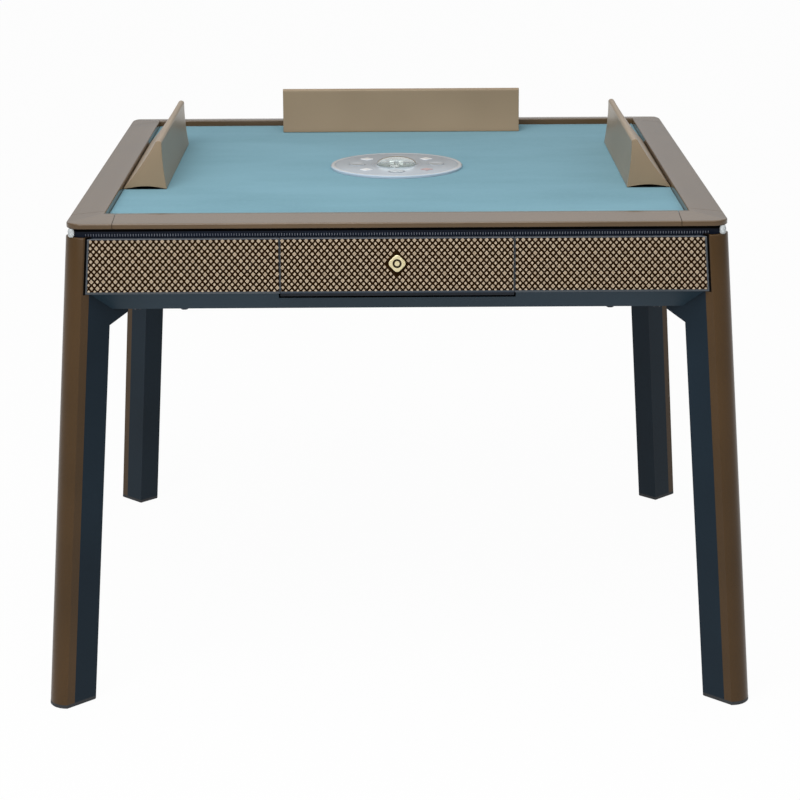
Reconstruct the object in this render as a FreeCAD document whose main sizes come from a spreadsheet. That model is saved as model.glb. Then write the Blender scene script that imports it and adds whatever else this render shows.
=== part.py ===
import FreeCAD, Part
import math
import os
import Sketcher

# Square game table with a recessed felt top, four splayed legs, a shallow machine case with a
# drawer in each side, loose tile racks, and a round control disc that rises over the tile well.
#
# Frame: Z up, millimetres, floor at Z = 0, table centre at X = Y = 0, front side towards -Y.
# Side pieces are drawn for the front side and turned by quarter turns: front, right, back, left.
# Corner pieces are drawn for the +X +Y corner and turned the same way.

SIDES = ("front", "right", "back", "left")
CORNERS = ("back_right", "back_left", "front_left", "front_right")

SIZES = (
    # table top
    ("table_span", 1000, "width and depth across the rails"),
    ("rail_top", 770, "height of the rail's inner edge above the floor"),
    ("rail_width", 55, "rail, plan width"),
    ("rail_drop", 6, "fall of the rail's top from inner to outer edge"),
    ("rail_edge", 8.4, "rail, thickness at its outer edge"),
    ("rail_round", 2.4, "rail, edge rounding"),
    ("corner_block", 71, "corner block, plan length along each side"),
    ("corner_round", 25, "corner block, plan radius"),
    ("joint_gap", 0.4, "butt joint between rail and corner block"),
    ("board_thick", 10, "playing board"),
    ("felt_thick", 3.1, "felt mat"),
    ("fit_gap", 0.3, "clearance round fitted pieces"),
    ("well_radius", 105, "tile well through board and felt"),
    # upper frame
    ("frame_inset", 12, "upper frame, set back from the rail's edge"),
    ("frame_wall", 12, "upper frame, upright wall"),
    ("ledge_width", 26, "upper frame, ledge under the board"),
    ("ledge_thick", 5.6, "upper frame, ledge thickness"),
    ("strip_rise", 1.7, "ribbed strip, height above the frame's foot"),
    ("strip_height", 5.3, "ribbed strip"),
    ("strip_thick", 1.3, "ribbed strip"),
    ("strip_end", 27, "ribbed strip, stop short of the table's side"),
    ("spool_radius", 5, "corner spacer"),
    ("spool_inset", 8.5, "corner spacer, axis in from each table side"),
    # legs
    ("leg_proud", 1.9, "leg nose outside the table's side at the leg's top"),
    ("leg_splay", 49.5, "sideways run of a leg from top to floor, along X and along Y"),
    ("leg_nose", 30, "leg, nose radius"),
    ("leg_wrap", 10.2, "leg cover, reach along the flank, in X and in Y"),
    ("leg_depth", 40.2, "leg, reach along the flank, in X and in Y"),
    ("cover_wall", 3, "leg cover wall"),
    ("cover_rise", 2.5, "leg cover above the leg's post"),
    ("post_wall", 3, "leg post wall"),
    ("foot_height", 6, "foot pad"),
    ("foot_bevel", 1.4, "foot pad, lower edge"),
    ("leg_gap", 0.9, "gap between a leg's flank and the case"),
    # side panels and drawer fronts
    ("panel_set", 2, "panel face behind the table's side, at the panel's top"),
    ("panel_drop", 0.4, "panel's top edge below the upper frame"),
    ("panel_height", 83.5, "panel"),
    ("panel_thick", 9, "panel"),
    ("inset_depth", 1, "recess that takes the patterned facing"),
    ("rim_top", 0.8, "rim above the facing"),
    ("rim_foot", 3, "rim below the facing"),
    ("rim_side", 0.9, "rim beside the facing"),
    ("rim_end", 2.6, "rim between the facing and a leg"),
    ("rib_height", 8, "mounting rib behind a side panel"),
    ("rib_rise", 40, "mounting rib above the panel's foot"),
    # case
    ("pan_depth", 31.1, "pan, height"),
    ("pan_slope", 30.5, "pan, inward run of its sloping sides"),
    ("pan_lip", 1.5, "pan's top edge behind the table's side"),
    ("pan_wall", 2, "pan wall"),
    ("vent_length", 46, "vent slot in the pan"),
    ("vent_width", 5, "vent slot in the pan"),
    ("vent_pitch", 14, "vent slots, spacing"),
    ("vent_count", 6, "vent slots in a row"),
    ("vent_radius", 200, "vent rows, distance from the centre"),
    ("chassis_inset", 34.5, "corner box, outer wall in from the table's side"),
    ("chassis_wall", 3, "corner box wall"),
    ("bay_depth", 165.5, "corner box, reach of its cheeks beside a drawer"),
    ("bracket_neck", 13.7, "leg bracket, neck between leg and corner box at the leg's top"),
    ("bracket_toe", 10, "leg bracket, run of its toe under the pan"),
    ("bracket_flange", 9.6, "leg bracket, flange thickness under the pan"),
    ("bracket_drop", 25, "leg bracket, reach below the pan"),
    ("screw_radius", 5.5, "case screw, head radius over its corners"),
    ("screw_height", 6.5, "case screw, head height"),
    ("screw_in", 56, "case screws, in from the table's side"),
    ("screw_near", 172, "case screws, first place from a side's end"),
    ("screw_far", 100, "case screws, second place from a side's end"),
    # drawers
    ("drawer_width", 353.8, "drawer front"),
    ("drawer_seam", 0.8, "gap between drawer front and side panel"),
    ("drawer_lip", 4.3, "finger lip below the drawer front"),
    ("lip_gap", 6.2, "finger gap below the lip"),
    ("cheek_set", 6.1, "corner box's cheek beyond the drawer front's edge"),
    ("slide_room", 13.5, "room for tongue and channel beside the drawer box"),
    ("box_depth", 180, "drawer box"),
    ("box_wall", 2, "drawer box wall"),
    ("box_height", 72, "drawer box"),
    ("box_face", 12, "drawer box, front wall behind the table's side"),
    ("tongue_height", 13, "slide tongue on the drawer box"),
    ("tongue_rise", 33, "slide tongue above the box's floor"),
    ("slide_gap", 0.5, "clearance between tongue and channel"),
    ("channel_wall", 2, "drawer channel wall"),
    ("channel_lap", 2.2, "side gap between drawer box and channel"),
    ("badge_span", 27, "badge, across its blunt corners"),
    ("badge_tip", 5, "badge, width of a blunt corner"),
    ("badge_thick", 4.2, "badge"),
    ("badge_rise", 4.3, "badge, above the middle of the drawer front"),
    # tile racks
    ("rack_length", 436, "tile rack"),
    ("rack_base", 70, "tile rack"),
    ("rack_height", 80.5, "tile rack"),
    ("rack_toe", 2, "upright edge at each foot of a rack"),
    ("rack_ridge", 10.4, "width of a rack's rounded ridge"),
    ("ridge_round", 5.6, "a rack's ridge, radius"),
    ("rack_lean", 6.2, "ridge set back from the inner foot"),
    ("inner_hollow", 400, "a rack's face towards the middle, radius of its hollow"),
    ("outer_hollow", 480, "a rack's face towards the player, radius of its hollow"),
    ("rack_arch", 4, "rise of the arch under a rack"),
    ("rack_land", 5.2, "foot width beside the arch"),
    ("side_rack_gap", 0.9, "gap between a side rack and the rail"),
    ("back_rack_gap", 10.8, "gap between the back rack and the rail"),
    ("right_rack_shift", 17, "right rack, towards the back"),
    ("left_rack_shift", 24, "left rack, towards the back"),
    ("back_rack_shift", 9, "back rack, towards the right"),
    # control disc and lift
    ("disc_lap", 7, "control disc, reach over the edge of the tile well"),
    ("disc_height", 4.4, "control disc above its foot"),
    ("disc_skin", 2.8, "control disc, top skin"),
    ("disc_rim", 5.5, "control disc, rim"),
    ("disc_bevel", 1.4, "control disc, rim bevel"),
    ("dome_radius", 34, "dice cover"),
    ("dome_height", 12.6, "dice cover above the disc"),
    ("dome_brim", 5, "dice cover, upright part of its side above the disc"),
    ("dome_slope", 5, "dice cover, inward run of its sloping shoulder"),
    ("dome_wall", 1.6, "dice cover, wall"),
    ("dice_size", 7.4, "dice"),
    ("dice_bevel", 0.7, "dice edges"),
    ("dice_spread", 7.5, "dice, distance from the centre"),
    ("button_radius", 12.9, "player button"),
    ("button_inset", 45, "player buttons, in from the disc's edge"),
    ("button_proud", 1.1, "player button above the disc"),
    ("button_lug", 14.8, "player button, reach of its two retaining lugs"),
    ("lug_width", 6, "player button, width of its lugs"),
    ("lug_thick", 0.8, "player button, thickness of its lugs"),
    ("button_gap", 0.4, "clearance round a player button"),
    ("lens_side", 15, "direction lens"),
    ("lens_inset", 40, "direction lenses, in from the disc's edge"),
    ("lens_height", 0.7, "direction lens"),
    ("rod_radius", 12, "lift rod"),
    ("rod_length", 100, "lift rod"),
    ("column_wall", 4.5, "lift column"),
    ("column_height", 108, "lift column"),
    ("column_foot", 55, "lift column, reach of its square base from the axis"),
    ("column_base", 4.7, "lift column, base flange thickness"),
    # shuffling drum and its drive
    ("drum_room", 43, "gap between the tile drum and the drawers' backs"),
    ("drum_rise", 18, "underside of the drum above the pan's floor"),
    ("drum_depth", 45, "tile drum rim"),
    ("drum_wall", 3, "tile drum wall"),
    ("hub_radius", 24, "drum hub"),
    ("hub_gap", 2.5, "clearance between hub and lift column"),
    ("paddle_count", 6, "drum paddles"),
    ("paddle_start", 69, "drum paddles, inner end from the axis"),
    ("paddle_height", 7, "drum paddles"),
    ("paddle_width", 5, "drum paddles"),
    ("wheel_radius", 20, "friction drive wheel"),
    ("wheel_thick", 14, "friction drive wheel"),
    ("shaft_radius", 4, "motor shaft"),
    ("motor_width", 44, "drum motor, square gearbox"),
    ("motor_height", 16, "drum motor"),
    ("inlet_inset", 135.5, "power inlet, in from the corner box's outer walls"),
    ("inlet_width", 28, "power inlet body"),
    ("inlet_depth", 22, "power inlet body"),
    ("inlet_height", 24, "power inlet body"),
    ("inlet_wall", 3, "power inlet, wall round its socket"),
    ("inlet_flange", 5, "power inlet, flange beyond its body"),
    ("inlet_plate", 2, "power inlet, flange thickness"),
)

# Levels and places worked out from the sizes.
HALF = "Dim.table_span/2"
SEAT = "(Dim.rail_top-Dim.rail_drop-Dim.rail_edge)"
BOARD_FOOT = f"({SEAT}-Dim.board_thick)"
LEG_TOP = f"({BOARD_FOOT}-Dim.ledge_thick)"
COVER_TOP = f"({LEG_TOP}+Dim.cover_rise)"
LEAN = f"(Dim.leg_splay/{LEG_TOP})"
PANEL_TOP = f"({LEG_TOP}-Dim.panel_drop)"
PANEL_FOOT = f"({PANEL_TOP}-Dim.panel_height)"
PANEL_FACE = f"({HALF}-Dim.panel_set)"
PANEL_FOOT_FACE = f"({PANEL_FACE}+{LEAN}*Dim.panel_height)"
PAN_FOOT = f"({PANEL_FOOT}-Dim.pan_depth)"
PAN_FLOOR = f"({PAN_FOOT}+Dim.pan_wall)"
PAN_HALF = f"({HALF}-Dim.pan_lip-Dim.pan_slope)"
FRAME_FACE = f"({HALF}-Dim.frame_inset)"
FRAME_INNER = f"({FRAME_FACE}-Dim.frame_wall)"
LEDGE_INNER = f"({FRAME_FACE}-Dim.ledge_width)"
RAIL_INNER = f"({HALF}-Dim.rail_width)"
FELT_TOP = f"({SEAT}+Dim.felt_thick)"
REST = f"({FELT_TOP}+Dim.fit_gap)"
CORNER_START = f"({HALF}-Dim.corner_block)"
FRONT_HALF = "(Dim.drawer_width/2)"
BAY_START = f"({FRONT_HALF}+Dim.drawer_seam)"
FLANK = f"(Dim.leg_nose+Dim.leg_gap*sqrt(2))"
NOSE_AT_TOP = f"({HALF}+Dim.leg_proud-Dim.leg_nose)"
NOSE_AT_FLOOR = f"({NOSE_AT_TOP}+Dim.leg_splay)"
CHASSIS_FACE = f"({HALF}-Dim.chassis_inset)"
LEG_REACH = "((2*Dim.leg_depth-Dim.leg_nose)/sqrt(2))"
BRACKET_BACK = f"({NOSE_AT_TOP}*sqrt(2)-{LEG_REACH}-Dim.bracket_neck)"
BRACKET_SLOT = f"({BRACKET_BACK}-Dim.fit_gap)"
CHEEK = f"({CHASSIS_FACE}-Dim.bay_depth)"
BAY_HALF = f"({FRONT_HALF}+Dim.cheek_set)"
BOX_HALF = f"({BAY_HALF}-Dim.slide_room)"
BOX_FLOOR = PANEL_FOOT
BOX_FRONT = f"({HALF}-Dim.box_face)"
BOX_BACK = f"({BOX_FRONT}-Dim.box_depth)"
TONGUE_FOOT = f"({BOX_FLOOR}+Dim.tongue_rise)"
DISC_UNDER = f"({REST}+Dim.disc_height-Dim.disc_skin)"
DISC_TOP = f"({REST}+Dim.disc_height)"
DRUM_FOOT = f"({PAN_FLOOR}+Dim.drum_rise)"
DRUM_RADIUS = f"({BOX_BACK}-Dim.drum_room)"
WHEEL_PLACE = f"({DRUM_RADIUS}+Dim.wheel_radius+Dim.fit_gap)"
DISC_RADIUS = "(Dim.well_radius+Dim.disc_lap)"
BUTTON_PLACE = f"({DISC_RADIUS}-Dim.button_inset)"
INLET_PLACE = f"({CHASSIS_FACE}-Dim.inlet_inset)"
COLUMN_RADIUS = "(Dim.rod_radius+Dim.fit_gap+Dim.column_wall)"
RIM_RISE = f"(Dim.rail_edge+Dim.rail_drop)"

NEAR = 0.01  # two places closer than this are taken as one

doc = FreeCAD.newDocument("MahjongTable")
sheet = doc.addObject("Spreadsheet::Sheet", "Dim")
for row, (alias, size, note) in enumerate(SIZES, start=1):
    sheet.set(f"A{row}", alias)
    sheet.set(f"B{row}", str(size))
    sheet.set(f"C{row}", note)
    sheet.setAlias(f"B{row}", alias)
doc.recompute()

nodes = []


def value(expression):
    """The number that a sheet expression stands for."""
    return float(sheet.evalExpression(expression))


def body(label, quarter_turns=0, turn=0.0):
    """A named sub-part, turned about the table's centre line."""
    part = doc.addObject("PartDesign::Body", label)
    part.Label = label
    spin = FreeCAD.Rotation(FreeCAD.Vector(0, 0, 1), 90.0 * quarter_turns + turn)
    part.Placement = FreeCAD.Placement(FreeCAD.Vector(), spin)
    nodes.append(part)
    return part


def origin_feature(part, role):
    return next(item for item in part.Origin.OriginFeatures if item.Role == role)


def sketch(part, role, base=("0", "0", "0"), axis=None, angle=None):
    """A sketch on one of the body's own origin planes, moved by base along the sketch's own
    axes and tipped by angle about axis."""
    drawing = part.newObject("Sketcher::SketchObject", part.Label + "_sketch")
    drawing.AttachmentSupport = [(origin_feature(part, role), "")]
    drawing.MapMode = "FlatFace"
    if axis is not None:
        tip = FreeCAD.Rotation(FreeCAD.Vector(*axis), value(angle))
        drawing.AttachmentOffset = FreeCAD.Placement(FreeCAD.Vector(), tip)
        drawing.setExpression("AttachmentOffset.Rotation.Angle", angle)
    for letter, distance in zip("xyz", base):
        if distance != "0":
            drawing.setExpression(f"AttachmentOffset.Base.{letter}", distance)
    return drawing


def leaning_sketch(part, depth="0"):
    """A sketch on the leaning plane of the side panels. Its origin is the middle of the
    panels' top edge, and depth moves it outwards along its own normal."""
    lean = f"atan({LEAN})"
    out = f"{PANEL_FACE}+({depth})*cos({lean})"
    up = f"{PANEL_TOP}+({depth})*sin({lean})"
    return sketch(part, "XZ_Plane", ("0", up, out), axis=(-1, 0, 0), angle=lean)


def pin(drawing, edge, end, x, y):
    """Ties one end of an edge to the place that two expressions give."""
    for kind, place, other_axis in (("DistanceX", x, -2), ("DistanceY", y, -1)):
        number = value(place)
        if abs(number) < 1e-9:
            drawing.addConstraint(Sketcher.Constraint("PointOnObject", edge, end, other_axis))
            continue
        index = drawing.addConstraint(Sketcher.Constraint(kind, -1, 1, edge, end, number))
        drawing.setExpression(f"Constraints[{index}]", place)


def arc_between(start, end, radius, left):
    """The short arc from start to end, its centre on the left or the right of the chord."""
    chord = end - start
    half = chord.Length / 2
    rise = math.sqrt(max(radius * radius - half * half, 0.0))
    across = FreeCAD.Vector(-chord.y, chord.x, 0).normalize()
    centre = (start + end) / 2 + across * (rise if left else -rise)
    first, last = (start, end) if left else (end, start)
    circle = Part.Circle(centre, FreeCAD.Vector(0, 0, 1), radius)
    angles = [math.atan2(p.y - centre.y, p.x - centre.x) for p in (first, last)]
    return Part.ArcOfCircle(circle, angles[0], angles[1])


def outline(drawing, corners):
    """A closed outline. Each corner is (x, y), or (x, y, radius, side) where an arc of that
    radius arrives from the corner before it, with its centre on that side of its path."""
    base = drawing.GeometryCount
    places = [FreeCAD.Vector(value(c[0]), value(c[1]), 0) for c in corners]
    count = len(corners)
    ends = []
    for index, place in enumerate(places):
        following = (index + 1) % count
        target = corners[following]
        if len(target) == 2:
            drawing.addGeometry(Part.LineSegment(place, places[following]), False)
            ends.append((1, 2))
            continue
        left = target[3] == "left"
        arc = arc_between(place, places[following], value(target[2]), left)
        drawing.addGeometry(arc, False)
        ends.append((1, 2) if left else (2, 1))
        radius = Sketcher.Constraint("Radius", base + index, value(target[2]))
        number = drawing.addConstraint(radius)
        drawing.setExpression(f"Constraints[{number}]", target[2])
    for index, corner in enumerate(corners):
        before = (index - 1) % count
        join = (base + before, ends[before][1], base + index, ends[index][0])
        drawing.addConstraint(Sketcher.Constraint("Coincident", *join))
        pin(drawing, base + index, ends[index][0], corner[0], corner[1])
    return drawing


def rectangle(drawing, x0, y0, x1, y1):
    return outline(drawing, ((x0, y0), (x1, y0), (x1, y1), (x0, y1)))


def circle(drawing, x, y, radius):
    index = drawing.GeometryCount
    centre = FreeCAD.Vector(value(x), value(y), 0)
    shape = Part.Circle(centre, FreeCAD.Vector(0, 0, 1), value(radius))
    drawing.addGeometry(shape, False)
    pin(drawing, index, 3, x, y)
    number = drawing.addConstraint(Sketcher.Constraint("Radius", index, value(radius)))
    drawing.setExpression(f"Constraints[{number}]", radius)
    return drawing


def pad(part, drawing, length, symmetric=False, back=False, leaning=False, taper=None):
    """Adds the drawing's outline, pushed out by length. A leaning pad follows the legs."""
    feature = part.newObject("PartDesign::Pad", part.Label + "_pad")
    feature.Profile = drawing
    feature.Length = value(length)
    feature.setExpression("Length", length)
    if symmetric:
        feature.SideType = "Symmetric"
    feature.Reversed = back
    if taper is not None:
        feature.setExpression("TaperAngle", taper)
    if leaning:
        feature.UseCustomVector = True
        feature.AlongSketchNormal = True
        feature.Direction = FreeCAD.Vector(-0.1, -0.1, 1)
        feature.setExpression("Direction.x", f"-{LEAN}")
        feature.setExpression("Direction.y", f"-{LEAN}")
    doc.recompute()
    return feature


def pocket(part, drawing, length=None, symmetric=False, back=False):
    """Cuts the drawing's outline away, to a depth or right through, and makes sure that
    something was cut."""
    before = part.Shape.Volume
    feature = part.newObject("PartDesign::Pocket", part.Label + "_pocket")
    feature.Profile = drawing
    if length is None:
        feature.Type = "ThroughAll"
    else:
        feature.setExpression("Length", length)
    if symmetric:
        feature.SideType = "Symmetric"
    feature.Reversed = back
    doc.recompute()
    if not part.Shape.Volume < before:
        raise RuntimeError(f"{part.Label}: a pocket cuts nothing")
    return feature


def revolve(part, drawing):
    """Turns the drawing about its own vertical axis."""
    feature = part.newObject("PartDesign::Revolution", part.Label + "_revolution")
    feature.Profile = drawing
    feature.ReferenceAxis = (drawing, ["V_Axis"])
    feature.Angle = 360
    doc.recompute()
    return feature


def repeat(part, features, count="4"):
    """Repeats features evenly about the table's centre line."""
    feature = part.newObject("PartDesign::PolarPattern", part.Label + "_pattern")
    feature.Originals = features
    feature.Axis = (origin_feature(part, "Z_Axis"), [""])
    feature.Angle = 360
    feature.Occurrences = int(value(count))
    feature.setExpression("Occurrences", count)
    part.Tip = feature
    doc.recompute()
    return feature


def mirror(part, features, role="YZ_Plane"):
    feature = part.newObject("PartDesign::Mirrored", part.Label + "_mirror")
    feature.Originals = features
    feature.MirrorPlane = (origin_feature(part, role), [""])
    part.Tip = feature
    doc.recompute()
    return feature


def edges(feature, wanted):
    """Names of the feature's edges whose middle point and direction pass the test."""
    names = []
    for index, edge in enumerate(feature.Shape.Edges, start=1):
        first, last = edge.ParameterRange
        middle = edge.valueAt((first + last) / 2)
        along = edge.tangentAt((first + last) / 2)
        if wanted(middle, along):
            names.append(f"Edge{index}")
    if not names:
        raise RuntimeError(f"{feature.Label}: no edge found")
    return names


def soften(part, feature, kind, wanted, size):
    """Rounds (Fillet) or bevels (Chamfer) the chosen edges."""
    finish = part.newObject("PartDesign::" + kind, f"{part.Label}_{kind.lower()}")
    finish.Base = (feature, edges(feature, wanted))
    finish.setExpression("Radius" if kind == "Fillet" else "Size", size)
    part.Tip = finish
    doc.recompute()
    return finish


def shell(part, feature, wanted, wall):
    """Hollows the feature to a wall, leaving out the faces whose normal passes the test."""
    names = []
    for index, face in enumerate(feature.Shape.Faces, start=1):
        if wanted(face.normalAt(0, 0)):
            names.append(f"Face{index}")
    hollow = part.newObject("PartDesign::Thickness", part.Label + "_shell")
    hollow.Base = (feature, names)
    hollow.Reversed = True
    hollow.Join = 1
    hollow.setExpression("Value", wall)
    part.Tip = hollow
    doc.recompute()
    return hollow


# Table top ------------------------------------------------------------------------------

def make_rail(side):
    """One straight rail. Its top falls outwards, and its long edges are rounded."""
    part = body(f"rail_{SIDES[side]}", side)
    section = outline(sketch(part, "YZ_Plane"), (
        (f"-({HALF})", SEAT),
        (f"-{RAIL_INNER}", SEAT),
        (f"-{RAIL_INNER}", "Dim.rail_top"),
        (f"-({HALF})", f"{SEAT}+Dim.rail_edge"),
    ))
    bar = pad(part, section, f"2*({CORNER_START}-Dim.joint_gap)", symmetric=True)
    seat = value(SEAT)
    inner = -value(RAIL_INNER)

    def long_and_shown(point, along):
        by_the_felt = abs(point.y - inner) < NEAR and abs(point.z - seat) < NEAR
        return abs(along.x) > 1 - NEAR and not by_the_felt

    soften(part, bar, "Fillet", long_and_shown, "Dim.rail_round")


def make_rail_corner(corner):
    """The corner block between two rails: two slopes that meet on the mitre."""
    part = body(f"rail_corner_{CORNERS[corner]}", corner)
    plan = outline(sketch(part, "XY_Plane", ("0", "0", SEAT)), (
        (CORNER_START, RAIL_INNER),
        (RAIL_INNER, RAIL_INNER),
        (RAIL_INNER, CORNER_START),
        (HALF, CORNER_START),
        (HALF, f"{HALF}-Dim.corner_round"),
        (f"{HALF}-Dim.corner_round", HALF, "Dim.corner_round", "left"),
        (CORNER_START, HALF),
    ))
    block = pad(part, plan, RIM_RISE)
    seat = value(SEAT)
    half = value(HALF)

    def lower_and_outer(point, along):
        on_the_sides = max(point.x, point.y) > half - NEAR or abs(along.x * along.y) > NEAR
        return point.z < seat + NEAR and on_the_sides

    soften(part, block, "Chamfer", lower_and_outer, "Dim.rail_round/2")
    for role in ("YZ_Plane", "XZ_Plane"):
        slope = outline(sketch(part, role), (
            (RAIL_INNER, "Dim.rail_top"),
            (f"{HALF}+Dim.rail_width", "Dim.rail_top-2*Dim.rail_drop"),
            (f"{HALF}+Dim.rail_width", "Dim.rail_top+Dim.rail_width"),
            (RAIL_INNER, "Dim.rail_top+Dim.rail_width"),
        ))
        pocket(part, slope, f"4*({HALF})", symmetric=True)


def make_playing_board():
    part = body("playing_board")
    side = f"({FRAME_INNER}-Dim.fit_gap)"
    plan = sketch(part, "XY_Plane", ("0", "0", BOARD_FOOT))
    rectangle(plan, f"-{side}", f"-{side}", side, side)
    circle(plan, "0", "0", "Dim.well_radius")
    pad(part, plan, "Dim.board_thick")


def make_felt_mat():
    part = body("felt_mat")
    side = f"({RAIL_INNER}-Dim.fit_gap)"
    plan = sketch(part, "XY_Plane", ("0", "0", SEAT))
    rectangle(plan, f"-{side}", f"-{side}", side, side)
    circle(plan, "0", "0", "Dim.well_radius")
    pad(part, plan, "Dim.felt_thick")


def make_upper_frame():
    """Square frame on the legs: an upright wall with a ledge that carries the board, notched
    at its corners for the spacers."""
    part = body("upper_frame")
    ledge = sketch(part, "XY_Plane", ("0", "0", LEG_TOP))
    rectangle(ledge, f"-{FRAME_FACE}", f"-{FRAME_FACE}", FRAME_FACE, FRAME_FACE)
    rectangle(ledge, f"-{LEDGE_INNER}", f"-{LEDGE_INNER}", LEDGE_INNER, LEDGE_INNER)
    pad(part, ledge, "Dim.ledge_thick")
    wall = sketch(part, "XY_Plane", ("0", "0", BOARD_FOOT))
    rectangle(wall, f"-{FRAME_FACE}", f"-{FRAME_FACE}", FRAME_FACE, FRAME_FACE)
    rectangle(wall, f"-{FRAME_INNER}", f"-{FRAME_INNER}", FRAME_INNER, FRAME_INNER)
    pad(part, wall, "Dim.board_thick")
    place = f"({HALF}-Dim.spool_inset)"
    notch = sketch(part, "XY_Plane", ("0", "0", SEAT))
    for x_sign in ("", "-"):
        for y_sign in ("", "-"):
            circle(notch, x_sign + place, y_sign + place, "Dim.spool_radius+Dim.fit_gap")
    pocket(part, notch)


def make_ribbed_strips():
    part = body("ribbed_strips")
    face = sketch(part, "XZ_Plane", ("0", "0", FRAME_FACE))
    reach = f"({HALF}-Dim.strip_end)"
    foot = f"({LEG_TOP}+Dim.strip_rise)"
    rectangle(face, f"-{reach}", foot, reach, f"{foot}+Dim.strip_height")
    repeat(part, [pad(part, face, "Dim.strip_thick")])


def around_place(x, y, radius, count):
    """The corners of an even polygon about a place."""
    steps = [2 * math.pi * step / count for step in range(count)]
    return [(f"{x}+{radius}*{math.cos(angle):.4f}", f"{y}+{radius}*{math.sin(angle):.4f}")
            for angle in steps]


def make_corner_spacers():
    """Eight-sided spacers between the leg covers and the corner blocks."""
    part = body("corner_spacers")
    place = f"({HALF}-Dim.spool_inset)"
    plan = sketch(part, "XY_Plane", ("0", "0", COVER_TOP))
    outline(plan, around_place(place, place, "Dim.spool_radius", 8))
    repeat(part, [pad(part, plan, f"{SEAT}-{COVER_TOP}")])


# Legs -----------------------------------------------------------------------------------

def leg_place(height):
    """The nose's centre at a height, in X and in Y."""
    return f"({NOSE_AT_FLOOR}-{LEAN}*({height}))"


def leg_sketch(part, height):
    place = leg_place(height)
    return sketch(part, "XY_Plane", (place, place, height))


def flank(reach, inwards="0"):
    """A point on the +Y flank of a leg, reach along it and moved inwards, both in X and Y."""
    return (f"-({reach})+({inwards})", f"Dim.leg_nose-({reach})-({inwards})")


def swapped(point):
    """The same point on the other flank."""
    return (point[1], point[0])


def make_leg_cover(corner):
    """The rounded outer shell of a leg: a nose and a short stretch of each flank."""
    part = body(f"leg_cover_{CORNERS[corner]}", corner)
    wall = "Dim.cover_wall/sqrt(2)"
    end = flank("Dim.leg_wrap")
    lip = flank("Dim.leg_wrap", wall)
    throat = ("0", f"Dim.leg_nose-2*({wall})")
    profile = outline(leg_sketch(part, "Dim.foot_height"), (
        ("Dim.leg_nose", "0"),
        ("0", "Dim.leg_nose", "Dim.leg_nose", "left"),
        end,
        lip,
        throat,
        (throat[1], throat[0], "Dim.leg_nose-Dim.cover_wall", "right"),
        swapped(lip),
        swapped(end),
    ))
    pad(part, profile, f"{COVER_TOP}-Dim.foot_height", leaning=True)


def make_leg_post(corner):
    """The tube that carries the table, with a nose that fills the cover."""
    part = body(f"leg_post_{CORNERS[corner]}", corner)
    cover = "Dim.cover_wall/sqrt(2)"
    wall = "Dim.post_wall/sqrt(2)"
    start = flank("Dim.leg_wrap")
    lip = flank("Dim.leg_wrap", cover)
    throat = ("0", f"Dim.leg_nose-2*({cover})")
    end = flank("Dim.leg_depth")
    drawing = outline(leg_sketch(part, "Dim.foot_height"), (
        start,
        end,
        swapped(end),
        swapped(start),
        swapped(lip),
        swapped(throat),
        (throat[0], throat[1], "Dim.leg_nose-Dim.cover_wall", "left"),
        lip,
    ))
    near = flank("Dim.leg_wrap-Dim.post_wall", f"{wall}*2+{cover}")
    far = (f"-Dim.leg_depth+2*({wall})", f"Dim.leg_nose-Dim.leg_depth")
    outline(drawing, (near, far, swapped(far), swapped(near)))
    pad(part, drawing, f"{LEG_TOP}-Dim.foot_height", leaning=True)


def make_leg_feet():
    """A pad under each leg with the leg's whole outline and a bevelled lower edge."""
    part = body("leg_feet")

    def plan(height, inset):
        nose = f"(Dim.leg_nose-{inset})"
        end = (f"-(Dim.leg_depth-{inset})", f"{nose}-(Dim.leg_depth-{inset})")
        return outline(leg_sketch(part, height), (
            (nose, "0"),
            ("0", nose, nose, "left"),
            end,
            swapped(end),
        ))

    bevel = part.newObject("PartDesign::AdditiveLoft", part.Label + "_bevel")
    bevel.Profile = plan("0", "Dim.foot_bevel")
    bevel.Sections = [plan("Dim.foot_bevel", "0")]
    bevel.Ruled = True
    doc.recompute()
    sole = plan("Dim.foot_bevel", "0")
    foot = pad(part, sole, "Dim.foot_height-Dim.foot_bevel", leaning=True)
    repeat(part, [bevel, foot])


def make_leg_brackets():
    """Castings that tie the legs to the corner boxes, drawn along +X and turned onto the
    diagonals: a neck inside the case and a gusset under the pan."""
    part = body("leg_brackets", turn=45.0)

    def leg_face(height):
        return f"({leg_place(height)}*sqrt(2)-{LEG_REACH})"

    low = f"({PAN_FOOT}-Dim.bracket_drop)"
    flange = f"({PAN_FOOT}-Dim.bracket_flange)"
    high = f"({LEG_TOP}-Dim.ledge_thick)"
    toe = f"({BRACKET_BACK}-Dim.bracket_toe)"
    section = outline(sketch(part, "XZ_Plane"), (
        (leg_face(low), low),
        (leg_face(high), high),
        (BRACKET_BACK, high),
        (BRACKET_BACK, PAN_FOOT),
        (toe, PAN_FOOT),
        (toe, flange),
    ))
    casting = pad(part, section, "Dim.leg_nose*sqrt(2)", symmetric=True)
    repeat(part, [casting])


# Case -----------------------------------------------------------------------------------

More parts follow.
